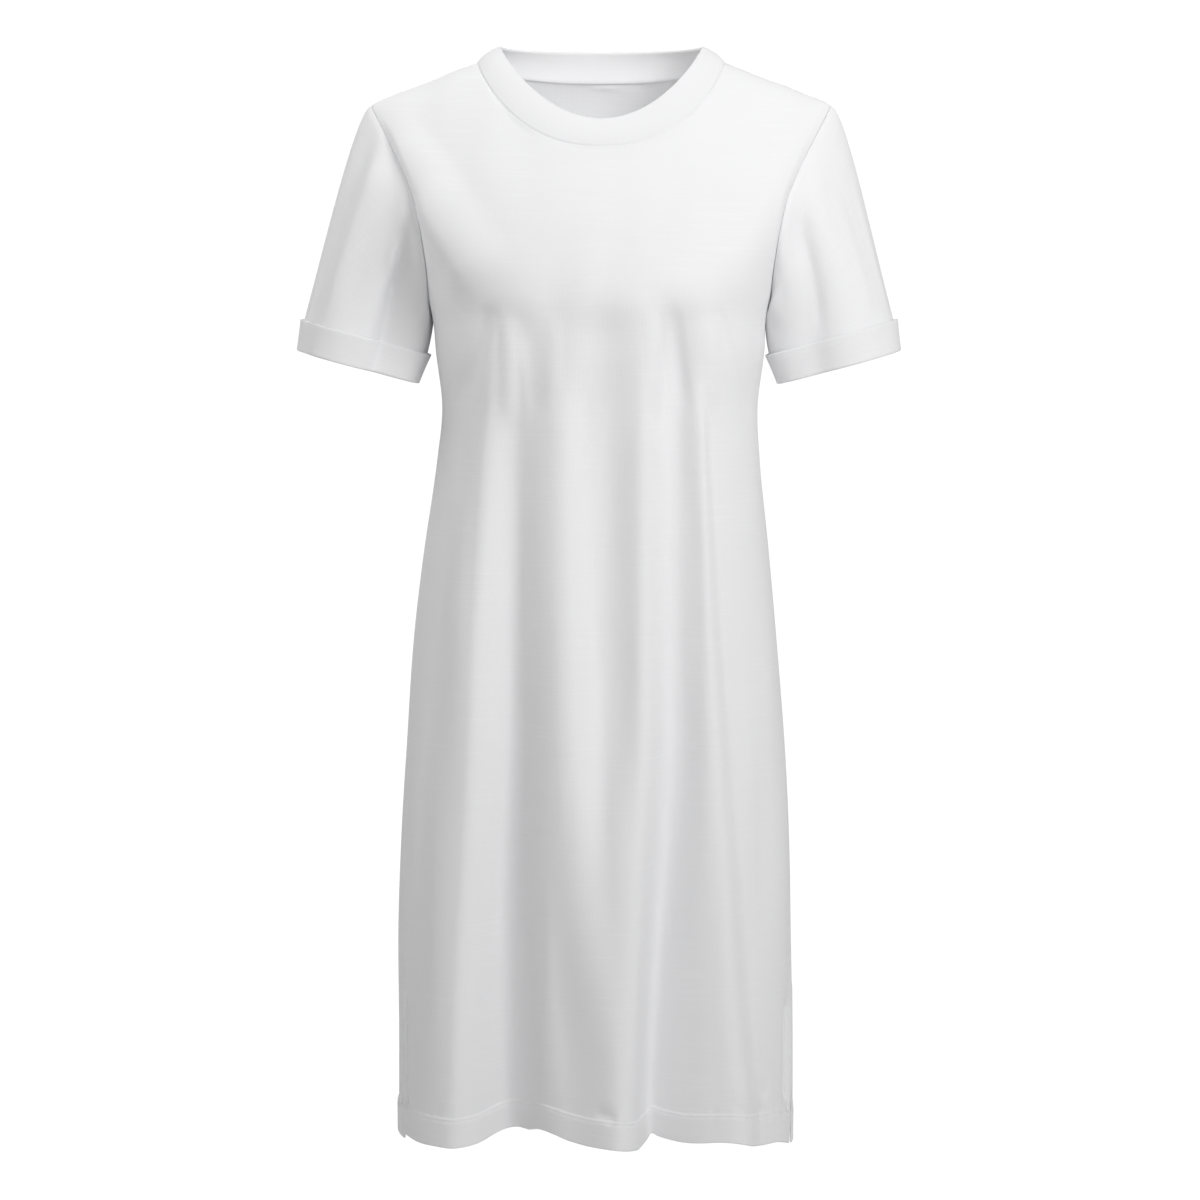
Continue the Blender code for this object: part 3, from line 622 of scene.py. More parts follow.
def panel_relief(panel, points, level, shoulder):
    """How far creases, slack, seams, hem and slits move a panel's cloth outwards."""
    from_start, from_end = (edge_distance(points, 1, end) for end in (False, True))
    seams = np.minimum(from_start, from_end)
    from_top = edge_distance(points, 0, True)
    sewn_up = smooth_step((level - SLIT_TOP) / SLIT_EASE)
    relief = crease_relief(panel.creases, points[..., 0], points[..., 2])
    slack = slack_relief(SLACK_SEEDS[panel.name], points[..., 0] * -panel.side, points[..., 2])
    relief = relief * smooth_step(seams / CREASE_EASE) + slack * smooth_step(seams / SLACK_EASE)
    relief = relief * smooth_step(from_top / TOP_EASE) + seam_line(seams) * sewn_up

    over_hem = level - HEM - HEM_ALLOWANCE
    in_hem = smooth_step(-over_hem / HEM_EASE + 0.5)
    in_slit = (1.0 - sewn_up) * smooth_step((SLIT_FACING - seams) / FACING_EASE + 0.5)
    relief = relief + HEM_STEP_OUT * np.maximum(in_hem, FACING_SHARE * in_slit)
    pucker = PUCKER * np.sin(2.0 * math.pi * from_start / PUCKER_LENGTH)
    relief = relief + stitch_line(over_hem + NEEDLE_GAP) + pucker * hump(over_hem / PUCKER_REACH)
    relief = relief + stitch_line(seams - SLIT_FACING) * (1.0 - sewn_up) * (over_hem > 0.0)
    if panel is FRONT:
        below = smooth_step((SLIT_TOP - level) / SLACK_EASE) * smooth_step(over_hem / SLACK_EASE)
        relief = relief - SLIT_DENT * hump((from_end - SLIT_DENT_PLACE) / SLIT_DENT_REACH) * below
    return relief + seam_line(from_top) * shoulder


def panel_cloth(panel):
    """Outer points, normals, thickness and cutting plan of a panel, rows from hem to shoulder."""
    columns = panel_columns()
    levels = skirt_levels()
    rows = [skirt_row(panel, columns, level) for level in levels]
    rows += [yoke_row(panel, columns, share) for share in yoke_shares()[1:]]
    angle, height = (np.stack([row[part] for row in rows]) for part in (0, 1))
    points = body_points(panel, angle, height)
    normals = body_normals(panel, angle, height)
    sides = [skirt_row(panel, np.array([-1.0, 1.0]), level) for level in levels]
    seam = body_points(panel, *(np.stack([row[part] for row in sides]) for part in (0, 1)))
    for edge in (0, -1):
        inset = unit(points[:len(levels), edge] - seam[:, edge]) * SEAM_GAP
        points[:len(levels), edge] = seam[:, edge] + inset
    middle = NECK_COLUMNS + SHOULDER_COLUMNS
    shoulder = np.abs(np.arange(2 * middle + 1) - middle) >= NECK_COLUMNS
    fall = points[-1, middle + NECK_COLUMNS] - points[-1, -1]
    slope = math.atan2(fall[2], abs(fall[0]))
    normals[-1, shoulder] = (0.0, 0.0, math.cos(slope))
    normals[-1, shoulder, 0] = np.sign(points[-1, shoulder, 0]) * math.sin(slope)

    level = np.concatenate([levels, UNDERARM + TINY + np.arange(1, YOKE_ROWS + 1)])[:, None]
    moved = points + normals * panel_relief(panel, points, level, shoulder)[..., None]
    settled = grid_normals(moved, normals)
    settled[-1] = normals[-1]
    thick = np.where(level < HEM + HEM_ALLOWANCE, HEM_CLOTH, CLOTH)[..., None]
    steps = np.hypot(*np.moveaxis(np.diff(points[..., :2], axis=1), -1, 0))
    run = np.pad(np.cumsum(steps, axis=1), ((0, 0), (1, 0)))
    plan = np.stack([run - run[:, middle:middle + 1], points[..., 2]], axis=-1)
    return moved, settled, thick, plan


# ---- walls of cloth

def add_object(name, data):
    """An object at the origin, linked to the scene."""
    thing = bpy.data.objects.new(name, data)
    bpy.context.scene.collection.objects.link(thing)
    return thing


def edge_lines(outer, inner, loop, outwards):
    """Lines of points round the turned edge, from the outer face to the inner one."""
    middle = (outer[loop] + inner[loop]) / 2.0
    half = (outer[loop] - inner[loop]) / 2.0
    reach = np.linalg.norm(half, axis=1, keepdims=True) * outwards
    turns = [math.pi * (line + 1) / (RIM_LINES + 1) for line in range(RIM_LINES)]
    return [middle + half * math.cos(turn) + reach * math.sin(turn) for turn in turns]


def quads(cells):
    """Four corners of each cell of a grid."""
    corners = (cells[:-1, :-1], cells[:-1, 1:], cells[1:, 1:], cells[1:, :-1])
    return np.stack(corners, axis=2).reshape(-1, 4)


def cloth_piece(name, outer, inner, plan, material, ring=False):
    """One closed piece of cloth between two grids, with rounded edges and its cutting plan."""
    rows, columns = outer.shape[:2]
    grid = np.arange(rows * columns).reshape(rows, columns)
    plan_grid = np.arange(plan[..., 0].size).reshape(plan.shape[:2])
    faces = quads(np.concatenate([grid, grid[:, :1]], axis=1) if ring else grid)
    plans = plan.reshape(-1, 2)[quads(plan_grid)]
    away = np.zeros_like(outer)
    away[0] += unit(outer[0] - outer[1])
    away[-1] += unit(outer[-1] - outer[-2])
    if ring:
        loops = [grid[0], grid[-1][::-1]]
    else:
        away[:, 0] += unit(outer[:, 0] - outer[:, 1])
        away[:, -1] += unit(outer[:, -1] - outer[:, -2])
        loops = [np.concatenate([grid[0, :-1], grid[:-1, -1], grid[-1, :0:-1], grid[:0:-1, 0]])]
    away = unit(away).reshape(-1, 3)
    edge_plan = plan[:, :columns].reshape(-1, 2)
    all_points = [outer.reshape(-1, 3), inner.reshape(-1, 3)]
    all_faces = [faces, (faces + grid.size)[:, ::-1]]
    all_plans = [plans, plans[:, ::-1]]
    count = 2 * grid.size
    for loop in loops:
        lines = [loop]
        for line in edge_lines(*all_points[:2], loop, away[loop]):
            all_points.append(line)
            lines.append(count + np.arange(len(loop)))
            count += len(loop)
        lines.append(loop + grid.size)
        after = np.roll(loop, -1)
        for near, far in zip(lines, lines[1:]):
            all_faces.append(np.stack([np.roll(near, -1), near, far, np.roll(far, -1)], axis=1))
            all_plans.append(edge_plan[np.stack([after, loop, loop, after], axis=1)])

    mesh = bpy.data.meshes.new(name)
    mesh.from_pydata(np.concatenate(all_points).tolist(), [], np.concatenate(all_faces).tolist())
    layer = mesh.uv_layers.new(name="cutting_plan")
    layer.uv.foreach_set("vector", np.concatenate(all_plans).astype(np.float32).ravel())
    mesh.materials.append(material)
    mesh.shade_smooth()
    return add_object(name, mesh)


# ---- materials

def linear(hex_colour):
    """An sRGB hex colour as linear red, green, blue and alpha."""
    values = [int(hex_colour[place:place + 2], 16) / 255.0 for place in (0, 2, 4)]
    return tuple(v / 12.92 if v <= 0.04045 else ((v + 0.055) / 1.055)**2.4
                 for v in values) + (1.0,)


def set_inputs(node, inputs):
    """Set or link a node's inputs; a node given as a value is linked by its first output."""
    for key, value in inputs.items():
        if isinstance(value, bpy.types.Node):
            value = value.outputs[0]
        if isinstance(value, bpy.types.NodeSocket):
            node.id_data.links.new(value, node.inputs[key])
        else:
            node.inputs[key].default_value = value


def add_node(tree, kind, inputs=None, **settings):
    """Add a node with its settings, and with its inputs set or linked."""
    node = tree.nodes.new(kind)
    for key, value in settings.items():
        setattr(node, key, value)
    set_inputs(node, inputs or {})
    return node


WALE = 0.0011  # ribs of a single jersey are 0.7 mm apart; a little wider so they show
COURSE = 0.0008  # rows of loops are 0.5 mm apart; a little wider so they show
WALE_RISE = 1.4
COURSE_RISE = 0.6
SLUB_LENGTH = 0.060  # thick places in the yarn run some centimetres round the dress
SLUB_THICKNESS = 0.0016
SLUB_FROM, SLUB_FULL = 0.52, 0.78
SLUB_PATCH = (0.09, 0.05)
FUZZ = 0.0013  # loose fibre is far finer; coarse enough to show
# How far each noise is drawn out round and down the dress, its detail, and a shift of its own.
NOISES = ((SLUB_LENGTH, SLUB_THICKNESS, 2.0, 3.7), (*SLUB_PATCH, 1.0, 11.3), (FUZZ, FUZZ, 2.0, 0.0))
THREAD_TWISTS = 900.0  # gives a ridge of the twisted yarns each 0.7 mm


def new_material(name):
    """A material with its node tree and its shader."""
    material = bpy.data.materials.new(name)
    material.use_nodes = True
    return material, material.node_tree, material.node_tree.nodes["Principled BSDF"]


def jersey(name, colour, slub_colour, slub_share):
    """Slub cotton single jersey, matt: fine upright ribs, and faint level streaks from thick yarn."""
    material, tree, shader = new_material(name)
    plan = add_node(tree, "ShaderNodeUVMap", uv_map="cutting_plan")
    noises = []
    for across, down, detail, shift in NOISES:
        stretched = add_node(tree, "ShaderNodeMapping", {
            "Vector": plan, "Scale": (1.0 / across, 1.0 / down, 1.0),
            "Location": (shift, shift, 0.0)})
        noises.append(add_node(tree, "ShaderNodeTexNoise", {
            "Vector": stretched, "Scale": 1.0, "Detail": detail, "Roughness": 0.5},
            noise_dimensions="2D"))
    slub, patches, fuzz = noises
    streaks = add_node(tree, "ShaderNodeMapRange", {
        "Value": slub, "From Min": SLUB_FROM, "From Max": SLUB_FULL},
        interpolation_type="SMOOTHSTEP")
    patchy = add_node(tree, "ShaderNodeMath", {0: streaks, 1: patches}, operation="MULTIPLY")
    share = add_node(tree, "ShaderNodeMath", {0: patchy, 1: slub_share}, operation="MULTIPLY")
    tone = add_node(tree, "ShaderNodeMix", {
        "Factor": share, 6: linear(colour), 7: linear(slub_colour)}, data_type="RGBA")

    place = add_node(tree, "ShaderNodeSeparateXYZ", {"Vector": plan}).outputs
    ribs = add_node(tree, "ShaderNodeMath", {0: place["X"], 1: WALE}, operation="DIVIDE")
    wale = add_node(tree, "ShaderNodeMath", {0: ribs, 1: 0.5}, operation="PINGPONG")
    rows = add_node(tree, "ShaderNodeMath", {0: place["Y"], 1: COURSE}, operation="DIVIDE")
    slant = add_node(tree, "ShaderNodeMath", {0: rows, 1: wale}, operation="ADD")
    loop = add_node(tree, "ShaderNodeMath", {0: slant, 1: 0.5}, operation="PINGPONG")
    rib = add_node(tree, "ShaderNodeMath", {0: wale, 1: WALE_RISE}, operation="MULTIPLY")
    course = add_node(tree, "ShaderNodeMath", {0: loop, 1: COURSE_RISE}, operation="MULTIPLY")
    knit = add_node(tree, "ShaderNodeMath", {0: rib, 1: course}, operation="ADD")
    grain = add_node(tree, "ShaderNodeMath", {0: knit, 1: fuzz}, operation="ADD")
    fine = add_node(tree, "ShaderNodeBump", {
        "Height": grain, "Strength": 0.16, "Distance": 0.0004})
    broad = add_node(tree, "ShaderNodeBump", {
        "Height": slub, "Strength": 0.11, "Distance": 0.0006, "Normal": fine})
    set_inputs(shader, {
        "Base Color": tone.outputs[2], "Normal": broad, "Roughness": 0.92,
        "Specular IOR Level": 0.25, "Sheen Weight": 0.10, "Sheen Roughness": 0.45})
    return material


def thread_material():
    """Spun polyester sewing thread, soft white with a slight gloss."""
    material, tree, shader = new_material("spun_polyester_thread")
    place = add_node(tree, "ShaderNodeTexCoord").outputs["Object"]
    twist = add_node(tree, "ShaderNodeTexWave", {
        "Vector": place, "Scale": THREAD_TWISTS, "Distortion": 1.0},
        bands_direction="DIAGONAL").outputs["Fac"]
    tone = add_node(tree, "ShaderNodeMix", {
        "Factor": twist, 6: linear("E9E9EA"), 7: linear("F4F4F4")}, data_type="RGBA")
    bump = add_node(tree, "ShaderNodeBump", {
        "Height": twist, "Strength": 0.3, "Distance": 0.0001})
    set_inputs(shader, {"Base Color": tone.outputs[2], "Normal": bump, "Roughness": 0.55})
    return material


# ---- stitches

THREAD = 0.00045


def stitch_tree():
    """Geometry nodes that lay one stitch after another along a line."""
    tree = bpy.data.node_groups.new("stitch_row", "GeometryNodeTree")
    for label, way, kind in (("Line", "INPUT", "Geometry"), ("Pitch", "INPUT", "Float"),
                             ("Stitch Length", "INPUT", "Float"),
                             ("Thread Thickness", "INPUT", "Float"),
                             ("Thread", "INPUT", "Material"), ("Stitches", "OUTPUT", "Geometry")):
        tree.interface.new_socket(label, in_out=way, socket_type="NodeSocket" + kind)
    given = add_node(tree, "NodeGroupInput").outputs
    places = add_node(tree, "GeometryNodeResampleCurve", {
        "Curve": given["Line"], "Length": given["Pitch"]}, mode="LENGTH")
    facing = add_node(tree, "FunctionNodeAlignRotationToVector", {
        "Vector": add_node(tree, "GeometryNodeInputTangent")}, axis="X")
    bead = add_node(tree, "GeometryNodeMeshUVSphere", {"Segments": 8, "Rings": 5, "Radius": 0.5})
    size = add_node(tree, "ShaderNodeCombineXYZ", {
        "X": given["Stitch Length"], "Y": given["Thread Thickness"],
        "Z": given["Thread Thickness"]})
    laid = add_node(tree, "GeometryNodeInstanceOnPoints", {
        "Points": places, "Instance": bead, "Rotation": facing, "Scale": size})
    real = add_node(tree, "GeometryNodeRealizeInstances", {"Geometry": laid})
    named = add_node(tree, "GeometryNodeSetMaterial", {
        "Geometry": real, "Material": given["Thread"]})
    add_node(tree, "NodeGroupOutput", {"Stitches": named})
    return tree


def sew(name, tree, lines, pitch, length, thread):
    """Stitches along lines of points, as one plain mesh."""
    curve = bpy.data.curves.new(name + "_line", "CURVE")
    curve.dimensions = "3D"
    for line in lines:
        spline = curve.splines.new("POLY")
        spline.points.add(len(line) - 1)
        places = np.pad(line, ((0, 0), (0, 1)), constant_values=1.0)
        spline.points.foreach_set("co", places.ravel())
    guide = add_object(name + "_line", curve)
    modifier = guide.modifiers.new("stitches", "NODES")
    modifier.node_group = tree
    sizes = {"Pitch": pitch, "Stitch Length": length, "Thread Thickness": THREAD,
             "Thread": thread}
    for item in tree.interface.items_tree:
        if item.item_type == "SOCKET" and item.in_out == "INPUT" and item.name in sizes:
            modifier[item.identifier] = sizes[item.name]
    bpy.context.view_layer.update()
    evaluated = guide.evaluated_get(bpy.context.evaluated_depsgraph_get())
    mesh = bpy.data.meshes.new_from_object(evaluated)
    mesh.name = name
    mesh.shade_smooth()
    bpy.data.objects.remove(guide, do_unlink=True)
    return add_object(name, mesh)


# ---- the pieces

SLEEVE_GAP = 1.2  # layers of cloth between the armhole seam and the sleeve's first row
CUFF_BEND = 0.0010  # length taken up by the cuff's turn
CUFF_FOLD_REACH = 0.12  # the sleeve's folds run on this share further in its cuff
CUFF_WOBBLE = 0.0003  # low waves in the cuff's upper edge
CUFF_WAVES = 7.0
CUFF_CURVE = 1.5  # that edge leans out more and more
TURN_DEGREES = (30.0, 60.0, 90.0, 120.0, 150.0)  # rows of the cuff's rounded turn
BAND_GAP = 0.0006
BAND_TUCK = 0.0016  # the band's seam edge goes this far down inside the panels
BAND_PROUD = 0.0005  # and its face stands this far out over the seam
TUCK_GAP = 0.0002
TUCK_SHARE = 0.6  # of the band's thickness, where it is tucked in
STITCH_LIFT = 0.0001
STITCH = 0.0026
STITCH_PITCH = 0.0032
HEM_SEWN = slice(2, -2)  # the hem's stitches stop this many columns before the side seams
PAST_SLIT = 0.004  # a slit's stitches run on this far over its top
BARTACK = 0.0030
BARTACK_REACH = (0.0045, 0.0075, 0.0105)  # how far in from the slit's edge it runs
BARTACK_SPAN = (-0.001, 0.008)  # from the hem's inner edge up


def tube_plan(turned, rows):
    """Cutting plan of a tube, from the way round it and the rows up or down it."""
    return np.stack(np.broadcast_arrays(turned[None, :], rows[:, None]), axis=-1)


def down_rows(grid):
    """Mean length down a grid to each of its rows."""
    return np.cumsum(np.pad(np.linalg.norm(np.diff(grid, axis=0), axis=-1).mean(axis=1), (1, 0)))


def armhole_loop(side, front, back):
    """Seam points and panel normals, from the shoulder tip down in front and up behind."""
    front_column, back_column = (-1, 0) if side > 0 else (0, -1)
    return [np.concatenate([front[grid][:-YOKE_ROWS - 2:-1, front_column],
                            back[grid][-YOKE_ROWS:-1, back_column]]) for grid in (0, 1)]


def sleeve_relief(side, turn, share):
    """How far the folds and creases move a sleeve outwards, round it and down it."""
    out = np.zeros_like(turn)
    felt = smooth_step(share / SLEEVE_FOLD_GROWN)
    felt = felt * (1.0 - (1.0 - SLEEVE_FOLD_AT_CUFF) * smooth_step(share))
    for fold in SLEEVE_FOLDS[side]:
        middle = math.radians(fold.turn_top + (fold.turn_foot - fold.turn_top) * share)
        offset = np.clip((turn - middle) / math.radians(fold.half_turn), -1.0, 1.0)
        out = out + fold.out * felt * 0.5 * (1.0 + np.cos(math.pi * offset))
    for crease in SLEEVE_CREASES[side]:
        along = (share - crease.share_start) / (crease.share_end - crease.share_start)
        middle = math.radians(crease.turn_start + (crease.turn_end - crease.turn_start) * along)
        bump = hump((turn - middle) / math.radians(crease.half_turn))
        out = out + crease.out * faded(along) * bump
    return out


def sleeve_cloth(side, front, back):
    """A sleeve and its turned-up cuff as one cloth: its middle, facing and thickness."""
    seam, seam_normals = armhole_loop(side, front, back)
    shares = yoke_shares()
    turn = math.pi * np.concatenate([1.0 - shares[::-1], 1.0 + shares[1:-1]])[:, None]
    mirror = np.array([side, 1.0, 1.0])
    down = mirror * (math.sin(SLEEVE_LEAN), 0.0, -math.cos(SLEEVE_LEAN))
    out = mirror * (math.cos(SLEEVE_LEAN), 0.0, math.sin(SLEEVE_LEAN))
    forward = np.array([0.0, -1.0, 0.0])
    reach = out * SLEEVE_HALF_WIDTH * np.cos(turn) + forward * SLEEVE_HALF_DEPTH * np.sin(turn)
    end = mirror * SLEEVE_END + reach
    cuff_top = end - down * CUFF_HEIGHT + reach * SLEEVE_TAPER

    over = (1.0 + np.cos(turn)) / 2.0
    crown, under = over**2, (1.0 - over)**2
    to_side = mirror * SIDE_HANDLE * np.insert(np.ones((len(turn), 2)), 1, -np.sign(np.sin(turn)).T, 1)
    handle = (crown * mirror * CROWN_HANDLE + (1.0 - crown - under) * to_side
              + under * mirror * UNDER_HANDLE)
    start = seam + unit(handle) * CLOTH * SLEEVE_GAP
    reach_down = np.linalg.norm(cuff_top - start, axis=1, keepdims=True)
    before_end = cuff_top - down * reach_down * END_HANDLE_SHARE
    outward = unit(reach)
    rows = []
    for share in np.linspace(0.0, 1.0, SLEEVE_ROWS + 1)**SLEEVE_CROWDING:
        rest = 1.0 - share
        rows.append(rest**3 * start + 3.0 * rest**2 * share * (start + handle)
                    + 3.0 * rest * share**2 * before_end + share**3 * cuff_top
                    + outward * sleeve_relief(side, turn, share))
    cuff_rows = [cuff_top + (end - cuff_top) * share
                 + outward * sleeve_relief(side, turn, 1.0 + CUFF_FOLD_REACH * share)
                 for share in np.linspace(0.0, 1.0 - CUFF_BEND / CUFF_HEIGHT, CUFF_ROWS + 1)]
    rings = np.stack(rows + cuff_rows[1:])
    normals = ring_normals(rings) * side
    normals[0] = unit(over * seam_normals + (1.0 - over) * normals[0])
    rings = rings + (normals * seam_line(edge_distance(rings, 0, False))[..., None]
                     * SLEEVE_SEAM_SHARE)

    middle = rings - normals * CLOTH / 2.0
    cuff_normals = normals[-CUFF_ROWS - 1:]
    rise = np.linspace(1.0, 0.0, CUFF_ROWS + 1)[:, None, None]
    wobble = CUFF_WOBBLE * np.sin(CUFF_WAVES * turn + side)[None] * rise
    stand = CUFF_STAND + CUFF_CLOTH / 2.0 + (CUFF_FLARE + wobble) * rise**CUFF_CURVE
    cuff_middle = np.stack(cuff_rows) + cuff_normals * stand
    centre = (middle[-1] + cuff_middle[-1]) / 2.0
    radius = np.linalg.norm(cuff_middle[-1] - middle[-1], axis=1, keepdims=True) / 2.0
    across = unit(cuff_middle[-1] - middle[-1])
    turned, facing = [], []
    for bend in np.radians(TURN_DEGREES):
        turned.append(centre - across * radius * math.cos(bend) + down * radius * math.sin(bend))
        facing.append(across * math.cos(bend) - down * math.sin(bend))
    middles = np.concatenate([middle, np.stack(turned), cuff_middle[::-1]])
    facings = np.concatenate([normals, np.stack(facing), -cuff_normals[::-1]])
    thick = np.concatenate([np.full(len(middle), CLOTH),
                            np.linspace(CLOTH, CUFF_CLOTH, len(turned) + 2)[1:-1],
                            np.full(len(cuff_middle), CUFF_CLOTH)])[:, None, None]
    return middles, facings, thick, turn


def make_sleeve(word, side, front, back, material):
    """A sleeve with its cuff, as one piece."""
    middles, facings, thick, turn = sleeve_cloth(side, front, back)
    round_it = np.append(turn[:, 0], 2.0 * math.pi) * SLEEVE_HALF_WIDTH
    grids = [middles + facings * thick / 2.0, middles - facings * thick / 2.0,
             tube_plan(round_it, -down_rows(middles))]
    if side == LEFT:
        grids = [grid[:, ::-1] for grid in grids]
    return cloth_piece("sleeve_%s_cloth" % word, *grids, material, ring=True)


def band_edge(panel, columns):
    """The neckband's inner edge on one side of the shoulders."""
    turn = 0.5 * math.pi * columns / NECK_POINT_COLUMN
    depth = BAND_FRONT_DEPTH if panel is FRONT else BAND_BACK_DEPTH
    drop = BAND_FRONT_DROP if panel is FRONT else BAND_BACK_DROP
    level = np.abs(np.cos(turn))
    x = BAND_CENTRE_X - panel.side * BAND_HALF_WIDTH * np.sin(turn)
    return np.stack([x, panel.side * depth * level, BAND_TOP - drop * level**BAND_DIP], axis=-1)


def make_neckband(front, back, material):
    """The folded band on the neck seam, tucked in behind the panels' edge."""
    first, last = SHOULDER_COLUMNS, SHOULDER_COLUMNS + 2 * NECK_COLUMNS + 1
    columns = panel_columns()[first:last]

    def whole(grid, row):
        return np.concatenate([front[grid][row, first:last], back[grid][row, first + 1:last - 1]])

    seam = whole(0, -1)
    fall = unit(whole(0, -3) - seam)
    edge = np.concatenate([band_edge(FRONT, columns), band_edge(BACK, columns[1:-1])])
    start = seam + unit(edge - seam) * BAND_GAP
    edge = edge - unit(edge - seam) * BAND_CLOTH / 2.0
    shares = np.linspace(0.0, 1.0, BAND_ROWS + 1)[:, None, None]
    flat = start + (edge - start) * shares
    crown = BAND_CROWN * 4.0 * shares * (1.0 - shares)
    outer = flat + ring_normals(flat) * (crown + BAND_PROUD * (1.0 - shares))
    inner = outer - ring_normals(outer) * BAND_CLOTH
    tuck = seam + fall * np.array([BAND_TUCK, TUCK_GAP])[:, None, None]
    under = CLOTH + TUCK_GAP
    outer = np.concatenate([tuck - whole(1, -2) * under, outer])
    inner = np.concatenate([tuck - whole(1, -2) * (under + BAND_CLOTH * TUCK_SHARE), inner])
    plan = tube_plan(lengths_so_far(np.roll(seam, -1, 0) - seam), down_rows(outer))
    return cloth_piece("neckband_cloth", outer, inner, plan, material, ring=True)


def row_above_hem(cloth, height_above):
    """Points on the outside of the row at a height above the hem."""
    row = int(np.argmin(np.abs(skirt_levels() - HEM - height_above)))
    return cloth[0][row] + cloth[1][row] * STITCH_LIFT


def slit_line(cloth, end, bottom, top, distance):
    """Points down a slit, a set distance in from its edge."""
    levels = skirt_levels()
    way = slice(None, None, -1 if end else 1)
    lines = []
    for row in np.nonzero((levels > bottom) & (levels < top))[0]:
        points, ways = cloth[0][row][way], cloth[1][row][way]
        along = lengths_so_far(np.diff(points, axis=0))
        lines.append([np.interp(distance, along, points[:, axis])
                      + np.interp(distance, along, ways[:, axis]) * STITCH_LIFT
                      for axis in range(3)])
    return np.array(lines)


def bartacks(cloth):
    """Short level lines, one under another, that close both slits' facings at the hem."""
    bottom, top = (HEM + HEM_ALLOWANCE + past for past in BARTACK_SPAN)
    lines = []
    for end in (False, True):
        lines.extend(np.stack([slit_line(cloth, end, bottom, top, reach)
                               for reach in BARTACK_REACH], axis=1))
    return lines


# ---- making it

white_jersey = jersey("white_slub_cotton_jersey", "F2F2F3", "F9F9F9", 0.50)
band_jersey = jersey("white_folded_neckband_jersey", "F0F0F1", "F6F6F6", 0.1)
thread = thread_material()
stitches = stitch_tree()

front = panel_cloth(FRONT)
back = panel_cloth(BACK)
front_piece = cloth_piece("front_cloth", front[0], front[0] - front[1] * front[2], front[3],
                          white_jersey)
back_piece = cloth_piece("back_cloth", back[0], back[0] - back[1] * back[2], back[3],
                         white_jersey)
sleeves = {word: make_sleeve(word, side, front, back, white_jersey)
           for side, word in ((LEFT, "left"), (RIGHT, "right"))}
neckband = make_neckband(front, back, band_jersey)

sewn = {}
for panel, cloth in ((FRONT, front), (BACK, back)):
    hem = [row_above_hem(cloth, HEM_ALLOWANCE - NEEDLE_GAP)[HEM_SEWN]]
    slits = [slit_line(cloth, end, HEM + HEM_ALLOWANCE, SLIT_TOP + PAST_SLIT, SLIT_FACING)
             for end in (False, True)]
    sewn[panel.name] = [
        sew(panel.name + "_hem_stitches", stitches, hem, STITCH_PITCH, STITCH, thread),
        sew(panel.name + "_slit_stitches", stitches, slits, STITCH_PITCH, STITCH, thread),
        sew(panel.name + "_bartacks", stitches, bartacks(cloth), BARTACK, BARTACK, thread),
    ]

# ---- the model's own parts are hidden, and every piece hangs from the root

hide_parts("front")
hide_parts("back")
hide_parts("sleeve_left", "cuff_left")
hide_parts("sleeve_right", "cuff_right")
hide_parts("neckband")
cloth_pieces = [front_piece, back_piece, sleeves["left"], sleeves["right"]]
for piece in cloth_pieces + sewn["front"] + sewn["back"]:
    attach(piece, "root")
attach(neckband, "root")

# ---- floor, light and camera

FLOOR = -1.42
FLOOR_RADIUS = 1.5
FLOOR_SIDES = 96

floor_mesh = bpy.data.meshes.new("floor")
turns = np.linspace(0.0, 2.0 * math.pi, FLOOR_SIDES + 1)[:-1]
floor_points = [(FLOOR_RADIUS * math.cos(turn), FLOOR_RADIUS * math.sin(turn), FLOOR)
                for turn in turns]
floor_mesh.from_pydata(floor_points, [], [tuple(range(FLOOR_SIDES))])
floor = add_object("floor", floor_mesh)
# Matt floor paint: pale and without gloss, so it throws soft light up.
floor_paint, _, floor_shader = new_material("pale_matt_floor")
set_inputs(floor_shader, {"Base Color": linear("EDEDED"), "Roughness": 0.9})
floor_mesh.materials.append(floor_paint)

SKY_LEAN = 0.10  # the right of the studio is a little brighter
# How bright the sky is, from straight down, 0, to straight up, 1.
SKY_BANDS = ((0.0, 0.33), (0.27, 0.33), (0.37, 0.62), (0.70, 0.62), (0.80, 0.0))
SKY_SEEN = 1.05
WHITE = (1.0, 1.0, 1.0, 1.0)
scene = bpy.context.scene
world = bpy.data.worlds.new("white_studio")
scene.world = world
world.use_nodes = True
sky = world.node_tree
sky_axes = add_node(sky, "ShaderNodeSeparateXYZ", {
    "Vector": add_node(sky, "ShaderNodeTexCoord")}).outputs
sky_height = add_node(sky, "ShaderNodeMapRange", {"Value": sky_axes["Z"], "From Min": -1.0})
sky_ramp = add_node(sky, "ShaderNodeValToRGB", {"Fac": sky_height})
bands = sky_ramp.color_ramp.elements
for place, strength in SKY_BANDS:
    band = bands[0] if place == 0.0 else bands.new(place)
    band.color = (strength, strength, strength, 1.0)
bands.remove(bands[-1])
sky_side = add_node(sky, "ShaderNodeMath", {0: sky_axes["X"], 1: SKY_LEAN, 2: 1.0},
                    operation="MULTIPLY_ADD")
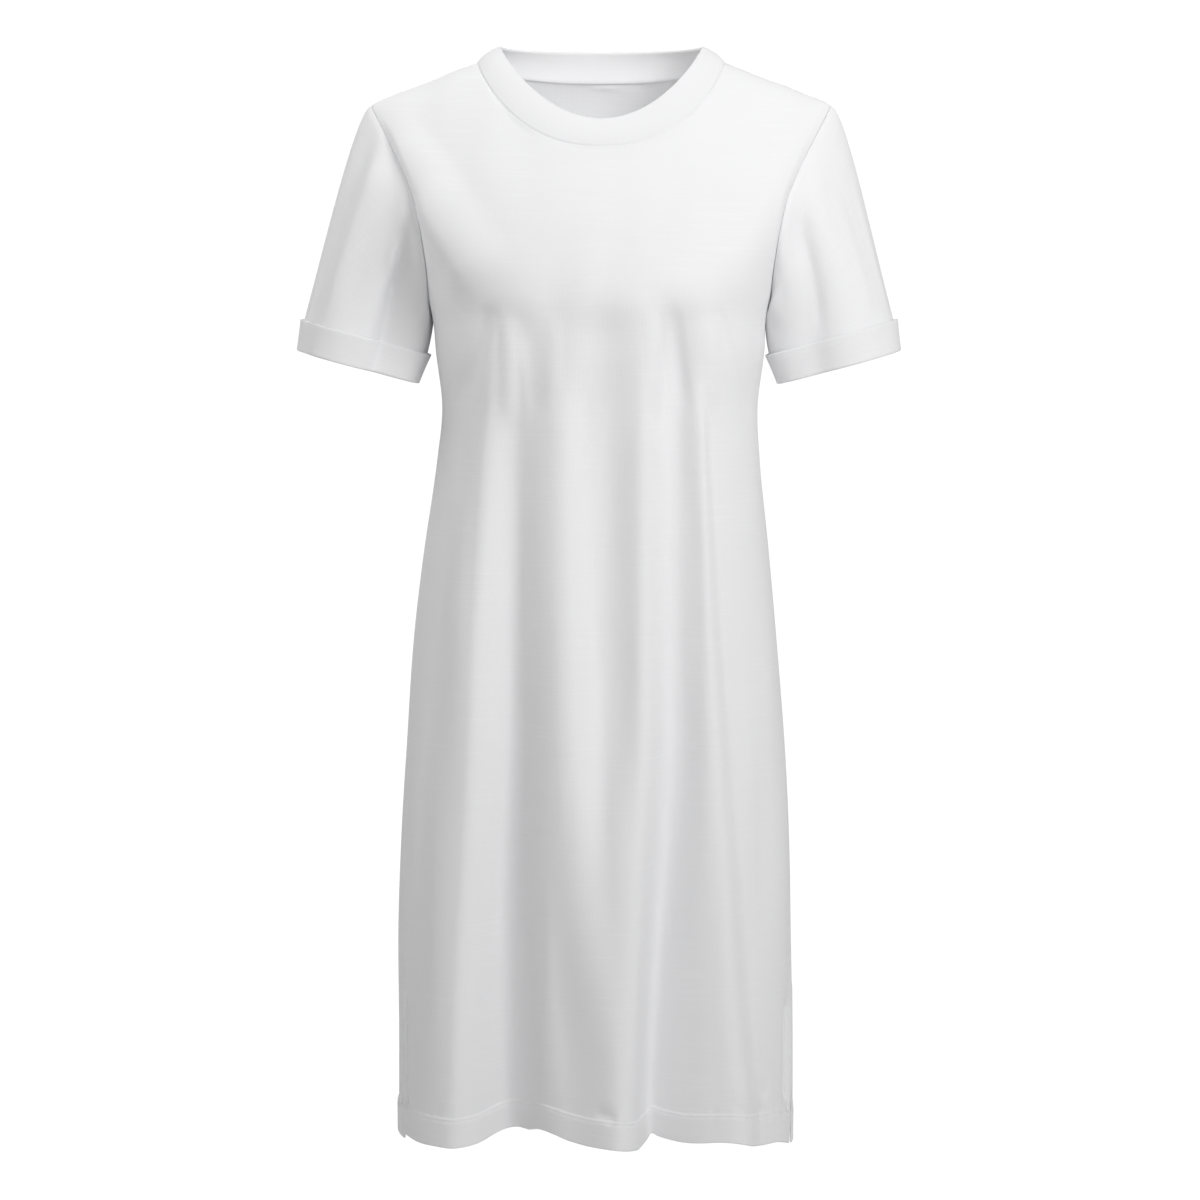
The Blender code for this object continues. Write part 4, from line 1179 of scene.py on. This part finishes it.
sky_power = add_node(sky, "ShaderNodeMath", {0: sky_ramp, 1: sky_side}, operation="MULTIPLY")
sky_light = sky.nodes["Background"]
set_inputs(sky_light, {"Color": WHITE, "Strength": sky_power})
sky_seen = add_node(sky, "ShaderNodeBackground", {"Color": WHITE, "Strength": SKY_SEEN})
sky_mix = add_node(sky, "ShaderNodeMixShader", {
    "Fac": add_node(sky, "ShaderNodeLightPath"), 1: sky_light, 2: sky_seen})
set_inputs(sky.nodes["World Output"], {"Surface": sky_mix})


def aim(thing, place, target):
    """Put a lamp or camera at a place, facing a point, with its top upwards."""
    way = np.array(target) - np.array(place)
    flat = math.hypot(way[0], way[1])
    thing.location = place
    thing.rotation_euler = (math.pi / 2.0 + math.atan2(way[2], flat), 0.0,
                            math.atan2(-way[0], way[1]))


def add_lamp(name, place, target, power, size):
    """A square soft lamp that faces a point."""
    lamp = bpy.data.lights.new(name, "AREA")
    lamp.energy = power
    lamp.size = size
    thing = add_object(name, lamp)
    aim(thing, place, target)
    return thing


DRESS_MIDDLE = (0.0, 0.0, -0.35)
CAMERA_PLACE = (0.0009, -3.0, -0.204)
CAMERA_TARGET = (0.0009, 0.0, -0.4646)
add_lamp("key", (0.823, -1.425, 0.600), DRESS_MIDDLE, 18.1, 0.8)
add_lamp("fill_left", (-0.625, -0.893, 1.206), DRESS_MIDDLE, 2.3, 0.8)
add_lamp("side_left", (-1.20, 0.0, 0.60), DRESS_MIDDLE, 5.0, 0.6)
add_lamp("top", (0.0, 0.50, 1.50), DRESS_MIDDLE, 9.0, 0.6)
neck_lamp = add_lamp("into_the_neck", (0.0, -0.055, -0.105), (0.0, 0.066, -0.012), 0.064, 0.16)
neck_lamp.data.shape = "RECTANGLE"
neck_lamp.data.size_y = 0.06
neck_lamp.visible_camera = False

camera_data = bpy.data.cameras.new("camera")
camera_data.lens = 104.0
camera_data.sensor_width = 36.0
camera = add_object("camera", camera_data)
aim(camera, CAMERA_PLACE, CAMERA_TARGET)
scene.camera = camera
scene.view_settings.view_transform = "Standard"
scene.view_settings.look = "None"
